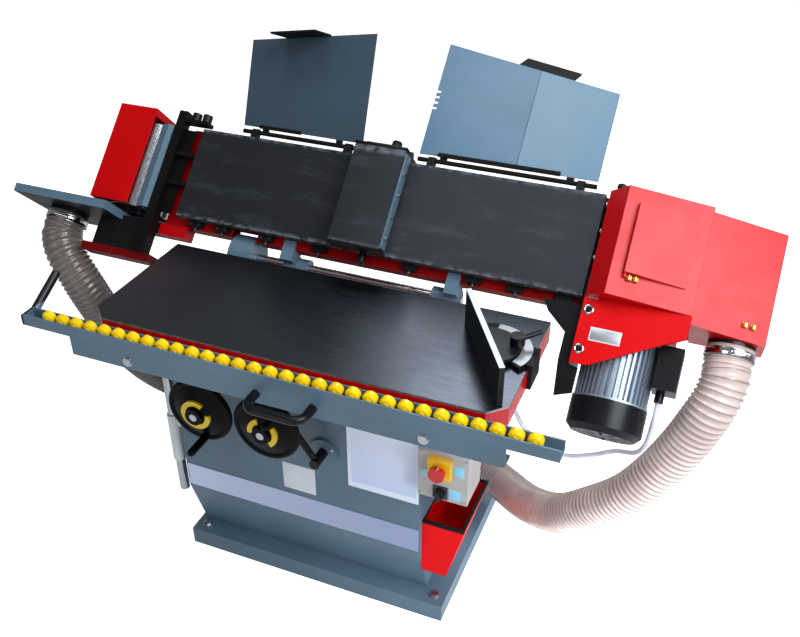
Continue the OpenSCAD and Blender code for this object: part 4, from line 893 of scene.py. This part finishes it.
def scatter(name, spots, body, finish):
    """Runs the bolts' tree on a group's points and directions, and keeps the result as a plain mesh."""
    tree = bpy.data.node_groups[BOLT_TREE]
    data = bpy.data.meshes.new(name + "_points")
    data.from_pydata([tuple(p) for p, _ in spots], [], [])
    way = data.attributes.new("out", "FLOAT_VECTOR", "POINT")
    way.data.foreach_set("vector", [c for _, d in spots for c in Vector(d).normalized()])
    made = add_object(name, data)
    modifier = made.modifiers.new("rows", "NODES")
    modifier.node_group = tree
    by_name = {i.name: i.identifier for i in tree.interface.items_tree if i.in_out == "INPUT"}
    for label, value in zip(BOLT_INPUTS, BOLT_GROUPS[name]):
        modifier[by_name[label]] = value
    modifier[by_name["Finish"]] = FINISHES[finish].material
    graph = bpy.context.evaluated_depsgraph_get()
    mesh = bpy.data.meshes.new_from_object(made.evaluated_get(graph), depsgraph=graph)
    made.modifiers.remove(modifier)
    made.data = mesh
    bpy.data.meshes.remove(data)
    mesh.name = name
    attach(made, body)


def head_spots(direction, *places):
    """Points and a direction of the head's own frame, in the scene's frame."""
    way = HEAD.to_3x3() @ Vector(direction)
    return [(HEAD @ Vector(p), way) for p in places]


def stand_spots(direction, *places):
    return [(STAND @ Vector(p), Vector(direction)) for p in places]


# Stage


CAMERA_AZIMUTH = math.radians(22.19)
CAMERA_ELEVATION = math.radians(32.75)
CAMERA_PLACE = (0.8324, -1.6858, 1.8567)
SENSOR_WIDTH = 36.0
SIGHT = 60.0
FLOOR_HALF = 14.0
FLOOR_COLOUR = (0.86, 0.86, 0.86)
FLOOR_GLOW = (0.9, 0.9, 0.9)

# Light from all round, and how much more of it the camera sees
SURROUND_LIGHT = 0.22
SURROUND_SEEN = 0.78

# Each lamp's place, aim, size in metres, power in watts and spread in degrees
COOL_WHITE = (0.88, 0.94, 1.0)
LAMPS = {
    "key": ((2.2, -1.2, 2.9), (0.4, -0.1, 0.85), 2.0, 112.0, 180),
    "guard": ((-0.12, -0.5, 3.3), (0.35, 0.1, 1.2), 0.8, 15.0, 180),
    "fill": ((-0.8, -3.8, 1.5), (0.0, -0.2, 0.5), 1.8, 18.0, 180),
    "table": ((0.1, 1.9, 2.5), (0.45, -0.3, 0.87), 1.3, 22.0, 180),
    "hose": ((1.9, -0.95, 0.5), (0.62, -0.08, 0.24), 0.4, 1.9, 30),
}


def place_and_aim(made, place, way):
    """Puts a camera or lamp at a place, looking along a way."""
    made.location = place
    made.rotation_mode = "QUATERNION"
    made.rotation_quaternion = way.to_track_quat("-Z", "Y")


def seen_directly(nodes):
    """1 on what the camera sees, through a clear skin too, and 0 for light on its way."""
    seen = nodes.node("ShaderNodeLightPath", out="Is Camera Ray")
    return seen.either(seen.output("Is Transmission Ray"))


def add_camera(scene):
    data = bpy.data.cameras.new("view")
    data.sensor_fit = "HORIZONTAL"
    data.sensor_width = SENSOR_WIDTH
    data.lens = sizes().lens
    data.clip_end = SIGHT
    scene.camera = add_object("view", data)
    level = math.cos(CAMERA_ELEVATION)
    back = Vector((math.sin(CAMERA_AZIMUTH) * level, -math.cos(CAMERA_AZIMUTH) * level,
                   math.sin(CAMERA_ELEVATION)))
    place_and_aim(scene.camera, CAMERA_PLACE, -back)
    scene.view_settings.view_transform = "Standard"


def add_floor():
    """A pale floor that glows only for the camera."""
    mesh = bpy.data.meshes.new("studio_floor")
    s = FLOOR_HALF
    mesh.from_pydata([(-s, -s, 0), (s, -s, 0), (s, s, 0), (-s, s, 0)], [], [(0, 1, 2, 3)])
    floor = add_object("studio_floor", mesh)
    f = Finish("studio_floor", roughness=0.9, base_color=FLOOR_COLOUR)
    plain = Value(f, f.shader.outputs[0])
    glow = f.node("ShaderNodeEmission", None, FLOOR_GLOW, 1.0)
    bright = f.node("ShaderNodeAddShader", None, plain, glow)
    pick = f.node("ShaderNodeMixShader", None, seen_directly(f), plain, bright)
    f.set(f.tree.nodes["Material Output"].inputs[0], pick)
    mesh.materials.append(f.material)


def add_light(scene):
    """White surroundings and the lamps."""
    scene.world = bpy.data.worlds.new("studio")
    scene.world.use_nodes = True
    nodes = Nodes(scene.world.node_tree)
    around = nodes.tree.nodes["Background"].inputs
    nodes.set(around["Strength"], seen_directly(nodes) * SURROUND_SEEN + SURROUND_LIGHT)
    nodes.set(around["Color"], (1.0, 1.0, 1.0))
    for name, (place, aim, size, power, spread) in LAMPS.items():
        lamp = bpy.data.lights.new(name, "AREA")
        lamp.size = size
        lamp.energy = power
        lamp.spread = math.radians(spread)
        lamp.color = COOL_WHITE
        place_and_aim(add_object(name, lamp), place, Vector(aim) - Vector(place))


# Sizes and places of the fittings, in millimetres


# Hose clamp: play over the hose, thickness of band and rims, a rim's width and slope, screw housing and screw
CLAMP_PLAY = 0.4
CLAMP_BAND = 1.1
CLAMP_RIM = 1.6
RIM_WIDTH = 1.0
RIM_SLOPE = 0.8
CLAMP_SIDES = 64
CLAMP_TURN = Matrix.Rotation(math.radians(-70), 4, "Z")
HOUSING_FOOT = 0.6
HOUSING_TOP = 6.5
HOUSING_HALF = 11
HOUSING_ROUND = 1.2
SCREW_HEIGHT = 5
CLAMP_SCREW = ((0, -17), (4.4, -17), (4.4, -11), (2.6, -10.5), (2.6, 14), (0, 14))
CLAMPS = {
    "clamp_left_top": (HEAD @ Matrix.Translation((*END_PORT, -60)), "head"),
    "clamp_right_top": (HEAD @ Matrix.Translation((*HOOD_PORT, -44)), "head"),
    "clamp_left_foot": (STAND @ Matrix.Translation((-116, *MANIFOLD_PORT)) @ ALONG_X, "stand"),
    "clamp_right_foot": (STAND @ Matrix.Translation((162, *MANIFOLD_PORT)) @ ALONG_X, "stand"),
}

# Bolts under the platens' clamps, on the clamps' faces and on the beam's right end
PLATEN_CLAMP_X = (-330, -262, -150, -20, 190, 330, 420, 520)
PLATEN_CLAMP_HALF = 17
PLATEN_CLAMP_FOOT = (25, -19.2)
CLAMP_FACE_X = (-322, -304, -254, -236, -142, -124)
CLAMP_FACE = (19.8, -8)
END_PLATE = (574.5, 14)
END_BOLT_Z = (196, 140, 84)

# Bolts on the front channel and screws of the lever's flange
CHANNEL_BOLTS = ((-208, -521, 812), (401, -521, 812))
FLANGE_SCREWS = ((80, -248, 466), (42, -248, 428))

# Washers and sockets of the motor's bracket
BRACKET_BOLTS = ((593, -27), (592, -106))
BRACKET_FACE = -10
BRACKET_WASHER = ((6, 0), (10, 0), (10, 1.6), (9, 2.4), (7, 2.4), (6, 1.6))
BRACKET_SOCKET = ((0, 0), (6, 0), (6, 1.2), (3.2, 1.2), (3.2, 0.4), (0, 0.4))

# Wheels of the roller rail: first and pitch along X, front and rear faces, height
RAIL_WHEELS = 31
RAIL_WHEEL_X = -398
RAIL_PITCH = 33
RAIL_WHEEL_Y = (-513.6, -496.4)
RAIL_WHEEL_Z = 857

# Switch box: front face, corner screws, and bare strips as left, right, foot and top; the stand's bare plate
BOX_FACE = -262
BOX_SCREW_X = (299, 401)
BOX_SCREW_Z = (428, 544)
STRIP_Y = (-262.8, -261.9)
STRIPS = ((302, 319, 478, 500), (373, 398, 500, 528), (366, 392, 432, 458))
BLANK_PLATE = ((-57, -240.9, 301), (28, -239.9, 380))
PLATE_ROUND = 0.3

# Rings of the handwheels: middle plane and height, radii, foot and thickness over the plane, arcs in degrees
WHEEL_Y = -345
WHEEL_Z = 570
RING_RADII = (36, 24)
RING_FOOT = 15.0
RING_THICKNESS = 6.5
RING_ROUND = 0.6
RINGS = {
    "tilt_ring": (-190, "tilt_wheel", ((55, 370),)),
    "lift_ring": (-24, "lift_wheel", ((-60, 40), (110, 190))),
}

# Brass catches on the drive cover's slanting front and on the dust hood's slanting side. The sheet slopes
# from its edge on, and a box with a pin stands on it at each left side
DOOR_CATCH = {
    "edge": (620, -56), "slope": 0.2875, "left": (652, 664),
    "box": ((0, -6, 33), (10, -0.2, 43)), "round": 1.0,
    "pin": ((0, 0), (2.2, 0), (2.2, 9), (0, 9)), "pin_place": (5, -6, 34), "pin_sides": 14,
}
HOOD_CATCH = {
    "edge": (780, 0), "slope": 62 / 141, "left": (872, 887),
    "box": ((0, -4, 10), (9, 1, 20)), "round": 0.8,
    "pin": ((0, 0), (1.8, 0), (1.8, 7), (0, 7)), "pin_place": (4.5, -4, 11.5), "pin_sides": 12,
}

# Knob and latch of the drive cover, and the bracket's bare plate with its inner field
COVER_KNOB = ((0, 0), (4, 0), (4, 5), (8.5, 7), (10, 11), (8.5, 15.5), (4, 18), (0, 18))
COVER_KNOB_PLACE = (598, 4, 222)
COVER_LATCH = ((586, -12, -5), (606, -8.4, 2))
BRACKET_PLATE = ((605, -10.8, -86), (665, -9.8, -59))
BRACKET_FIELD = ((607.5, -11.2, -83.5), (662.5, -10.6, -61.5))

# Cross stop: its side strip with bolts, the plates at both ends, the knob on top and the catch below
STOP_STRIP = ((153.6, -41, 6), (157, -12, 214))
STRIP_BOLT_Y = -26
STRIP_BOLT_Z = (30, 78, 126, 174)
STOP_LOW_PLATE = ((36, -44, -2), (156, -4, 3.2))
STOP_TOP_PLATE = ((36, -46, 221), (156, -3, 226.5))
STOP_ROUND = 1.0
STOP_KNOB = ((0, 0), (9, 0), (11, 2), (11, 13), (9, 16), (0, 16))
STOP_KNOB_PLACE = (124, -28, 226)
STOP_CATCH = ((0, -26), (5, -26), (8, -20), (8, -8), (6, 0.2), (0, 0.2))
STOP_CATCH_PLACE = (104, 8, 0)

# Arc of the angle stop: radii, angles in degrees, middle, thickness
GAUGE_RADII = (80.5, 59.5)
GAUGE_ANGLES = (-29, 93)
GAUGE_PLACE = (447, -304, 877.9)
GAUGE_THICKNESS = 0.9
GAUGE_ROUND = 0.2


# Operators


class EDGESANDER_OT_stage(bpy.types.Operator):
    """Sets up the camera, the pale floor and the soft studio light"""

    bl_idname = "edge_sander.stage"
    bl_label = "Stage"

    def execute(self, context):
        add_camera(context.scene)
        add_floor()
        add_light(context.scene)
        return {"FINISHED"}


class EDGESANDER_OT_finishes(bpy.types.Operator):
    """Makes the finishes and gives each solid its own"""

    bl_idname = "edge_sander.finishes"
    bl_label = "Finishes"

    def execute(self, context):
        make_finishes()
        for finish, names in PAINTWORK.items():
            for name in names.split():
                slots = NODES[name].data.materials
                slots.clear()
                slots.append(FINISHES[finish].material)
        return {"FINISHED"}


class EDGESANDER_OT_hoses(bpy.types.Operator):
    """Builds both dust hoses, each a skin over a wire helix"""

    bl_idname = "edge_sander.hoses"
    bl_label = "Dust hoses"

    def execute(self, context):
        s = sizes()

        def ribbed(run, angle):
            turn = run / s.rib_pitch - angle / (2 * math.pi)
            return s.hose_radius - s.rib_depth * (0.5 - 0.5 * math.sin(2 * math.pi * turn))

        for side, route in HOSE_ROUTES.items():
            points = curve_through(route, s.rib_pitch / TURN_POINTS)

            def fill(work, points=points):
                layer = work.loops.layers.uv.new("turns")
                add_tube(work, points, ribbed, HOSE_SIDES, lambda run, angle: s.hose_bore, layer, s.rib_pitch)

            cord_piece(f"dust_hose_{side}", points, 2 * s.hose_radius, f"hose_{side}",
                       f"{side}_hose", fill)
        return {"FINISHED"}


class EDGESANDER_OT_lead(bpy.types.Operator):
    """Builds the motor's lead from its gland to the stand"""

    bl_idname = "edge_sander.lead"
    bl_label = "Motor lead"

    def execute(self, context):
        radius = sizes().lead_radius
        points = curve_through(LEAD_ROUTE, LEAD_STEP)
        cord_piece("motor_lead", points, 2 * radius, "motor_cable", "lead_plastic",
                   lambda work: add_tube(work, points, lambda run, angle: radius, LEAD_SIDES))
        return {"FINISHED"}


class EDGESANDER_OT_clamps(bpy.types.Operator):
    """Puts a band clamp with its screw on each hose end"""

    bl_idname = "edge_sander.clamps"
    bl_label = "Hose clamps"

    def execute(self, context):
        width = sizes().clamp_width / MM
        inner = sizes().hose_radius / MM + CLAMP_PLAY
        band = inner + CLAMP_BAND
        rim = inner + CLAMP_RIM
        slope = RIM_WIDTH + RIM_SLOPE
        profile = ((inner, 0), (rim, 0), (rim, RIM_WIDTH), (band, slope), (band, width - slope),
                   (rim, width - RIM_WIDTH), (rim, width), (inner, width))
        screw = CLAMP_TURN @ Matrix.Translation((inner + SCREW_HEIGHT, 0, width / 2)) @ TO_FRONT
        for name, (place, body) in CLAMPS.items():
            work = Work(place)
            work.lathe(profile, Matrix.Identity(4), CLAMP_SIDES)
            work.box((inner + HOUSING_FOOT, -HOUSING_HALF, RIM_WIDTH),
                     (inner + HOUSING_TOP, HOUSING_HALF, width - RIM_WIDTH), HOUSING_ROUND, CLAMP_TURN)
            work.lathe(CLAMP_SCREW, screw, steps=16)
            work.piece(name, "band_steel", body, "bright_steel")
        return {"FINISHED"}


class EDGESANDER_OT_bolts(bpy.types.Operator):
    """Sets the washer bolts, the bracket's sockets, the small screws and the rail wheels' hubs"""

    bl_idname = "edge_sander.bolts"
    bl_label = "Bolts and screws"

    def execute(self, context):
        bolt_tree()
        feet = [(x + PLATEN_CLAMP_HALF, *PLATEN_CLAMP_FOOT) for x in PLATEN_CLAMP_X]
        scatter("platen_clamp_bolts", head_spots(DOWN, *feet), "head", "dark_steel")
        faces = [(x, *CLAMP_FACE) for x in CLAMP_FACE_X]
        scatter("clamp_face_bolts", head_spots(FRONT, *faces), "head", "dark_steel")
        self.bracket()
        scatter("channel_bolts", stand_spots(FRONT, *CHANNEL_BOLTS), "roller_support", "bright_steel")
        scatter("flange_screws", stand_spots(FRONT, *FLANGE_SCREWS), "stand", "bright_steel")
        ends = [(*END_PLATE, z) for z in END_BOLT_Z]
        scatter("end_plate_bolts", head_spots(RIGHT, *ends), "head", "bright_steel")
        corners = [(x, BOX_FACE, z) for x in BOX_SCREW_X for z in BOX_SCREW_Z]
        scatter("switch_box_screws", stand_spots(FRONT, *corners), "stand", "bright_steel")
        self.hubs()
        return {"FINISHED"}

    def bracket(self):
        washers, sockets = Work(HEAD), Work(HEAD)
        for x, z in BRACKET_BOLTS:
            place = Matrix.Translation((x, BRACKET_FACE, z)) @ TO_FRONT
            washers.lathe(BRACKET_WASHER, place, steps=32)
            sockets.lathe(BRACKET_SOCKET, place, steps=24)
        washers.piece("bracket_washers", "band_steel", "head", "bright_steel")
        sockets.piece("bracket_sockets", "black_plastic", "head", "black_plastic")

    def hubs(self):
        spots = []
        for i in range(RAIL_WHEELS):
            for y, way in zip(RAIL_WHEEL_Y, (FRONT, REAR)):
                spots += stand_spots(way, (RAIL_WHEEL_X + RAIL_PITCH * i, y, RAIL_WHEEL_Z))
        scatter("rail_wheel_hubs", spots, "roller_support", "yellow_plastic")


class EDGESANDER_OT_handwheels(bpy.types.Operator):
    """Adds the yellow rings of both handwheels"""

    bl_idname = "edge_sander.handwheels"
    bl_label = "Handwheel rings"

    def execute(self, context):
        for name, (x, body, arcs) in RINGS.items():
            work = Work(STAND)
            wheel = Matrix.Translation((x, WHEEL_Y, WHEEL_Z)) @ TO_FRONT
            face = wheel @ Matrix.Translation((0, 0, RING_FOOT))
            for start, end in arcs:
                work.prism(arc_outline(*RING_RADII, start, end), RING_THICKNESS, face, RING_ROUND)
            work.piece(name, "yellow_plastic", body, "yellow_plastic")
        return {"FINISHED"}


class EDGESANDER_OT_controls(bpy.types.Operator):
    """Adds the strips round the switches and the small plate on the stand, all bare"""

    bl_idname = "edge_sander.controls"
    bl_label = "Switch plates"

    def execute(self, context):
        strips = Work(STAND)
        for left, right, foot, top in STRIPS:
            strips.box((left, STRIP_Y[0], foot), (right, STRIP_Y[1], top), PLATE_ROUND)
        strips.piece("switch_strips", "pale_blue", "stand", "box_plastic")
        plate = Work(STAND)
        plate.box(*BLANK_PLATE, PLATE_ROUND)
        plate.piece("blank_plate", "white_plate", "stand", "box_plastic")
        return {"FINISHED"}


class EDGESANDER_OT_catches(bpy.types.Operator):
    """Adds the brass catches, the cover's knob, the latch and the bracket's blank plate"""

    bl_idname = "edge_sander.catches"
    bl_label = "Catches and knob"

    def execute(self, context):
        self.catch("door_catch", DOOR_CATCH)
        self.catch("hood_catch", HOOD_CATCH)
        knob = Work(HEAD)
        knob.lathe(COVER_KNOB, Matrix.Translation(COVER_KNOB_PLACE), steps=28)
        knob.piece("cover_knob", "black_plastic", "head", "black_plastic")
        latch = Work(HEAD)
        latch.box(*COVER_LATCH, round_edge=0.8)
        latch.piece("cover_latch", "band_steel", "head", "bright_steel")
        rim = Work(HEAD)
        rim.box(*BRACKET_PLATE, PLATE_ROUND)
        rim.piece("bracket_plate", "white_plate", "head", "bright_steel")
        field = Work(HEAD)
        field.box(*BRACKET_FIELD, round_edge=0.2)
        field.piece("bracket_plate_field", "plate_silver", "head", "bright_steel")
        return {"FINISHED"}

    def catch(self, name, form):
        work = Work(HEAD)
        edge_x, edge_y = form["edge"]
        for x in form["left"]:
            corner = Vector((x, edge_y + (x - edge_x) * form["slope"], 0))
            low, high = [corner + Vector(p) for p in form["box"]]
            work.box(low, high, form["round"])
            pin = Matrix.Translation(corner + Vector(form["pin_place"]))
            work.lathe(form["pin"], pin, form["pin_sides"])
        work.piece(name, "brass", "head", "bronze")


class EDGESANDER_OT_stop(bpy.types.Operator):
    """Adds the side strip, the end plates, the knob and the catch of the cross stop"""

    bl_idname = "edge_sander.stop"
    bl_label = "Cross stop fittings"

    def execute(self, context):
        strip = Work(HEAD)
        strip.box(*STOP_STRIP, STOP_ROUND)
        strip.piece("stop_strip", "stand_paint", "cross_stop", "grey_paint")
        outside = STOP_STRIP[1][0]
        bolts = [(outside, STRIP_BOLT_Y, z) for z in STRIP_BOLT_Z]
        scatter("stop_strip_bolts", head_spots(RIGHT, *bolts), "cross_stop", "bright_steel")
        foot = Work(HEAD)
        foot.box(*STOP_LOW_PLATE, STOP_ROUND)
        foot.box(*STOP_TOP_PLATE, STOP_ROUND)
        foot.lathe(STOP_KNOB, Matrix.Translation(STOP_KNOB_PLACE), steps=28)
        foot.piece("stop_foot", "black_plastic", "cross_stop", "black_paint")
        # The catch sits on the head, behind the belt's face, and so clears the table when the head is upright
        catch = Work(HEAD)
        catch.lathe(STOP_CATCH, Matrix.Translation(STOP_CATCH_PLACE), steps=24)
        catch.piece("stop_catch", "black_plastic", "head", "black_paint")
        return {"FINISHED"}


class EDGESANDER_OT_gauge(bpy.types.Operator):
    """Adds the bright arc of the angle stop"""

    bl_idname = "edge_sander.gauge"
    bl_label = "Angle stop scale"

    def execute(self, context):
        arc = Work(STAND)
        arc.prism(arc_outline(*GAUGE_RADII, *GAUGE_ANGLES), GAUGE_THICKNESS, Matrix.Translation(GAUGE_PLACE),
                  GAUGE_ROUND)
        arc.piece("gauge_scale", "plate_silver", "table", "bright_steel")
        return {"FINISHED"}


STEPS = (EDGESANDER_OT_stage, EDGESANDER_OT_finishes, EDGESANDER_OT_hoses, EDGESANDER_OT_lead,
         EDGESANDER_OT_clamps, EDGESANDER_OT_bolts, EDGESANDER_OT_handwheels, EDGESANDER_OT_controls,
         EDGESANDER_OT_catches, EDGESANDER_OT_stop, EDGESANDER_OT_gauge)


class EDGESANDER_PT_panel(bpy.types.Panel):
    """Lists the steps in the sidebar"""

    bl_idname = "EDGESANDER_PT_panel"
    bl_label = "Edge sander"
    bl_space_type = "VIEW_3D"
    bl_region_type = "UI"
    bl_category = "Edge sander"

    def draw(self, context):
        for step in STEPS:
            self.layout.operator(step.bl_idname)


CLASSES = (EdgeSanderSizes, EdgeSanderColours, *STEPS, EDGESANDER_PT_panel)


def register():
    for cls in CLASSES:
        bpy.utils.register_class(cls)
    bpy.types.Scene.edge_sander_sizes = bpy.props.PointerProperty(type=EdgeSanderSizes)
    bpy.types.Scene.edge_sander_colours = bpy.props.PointerProperty(type=EdgeSanderColours)


def unregister():
    del bpy.types.Scene.edge_sander_colours
    del bpy.types.Scene.edge_sander_sizes
    for cls in reversed(CLASSES):
        bpy.utils.unregister_class(cls)


def main():
    register()
    for step in STEPS:
        group, name = step.bl_idname.split(".")
        getattr(getattr(bpy.ops, group), name)()


if __name__ == "__main__":
    main()
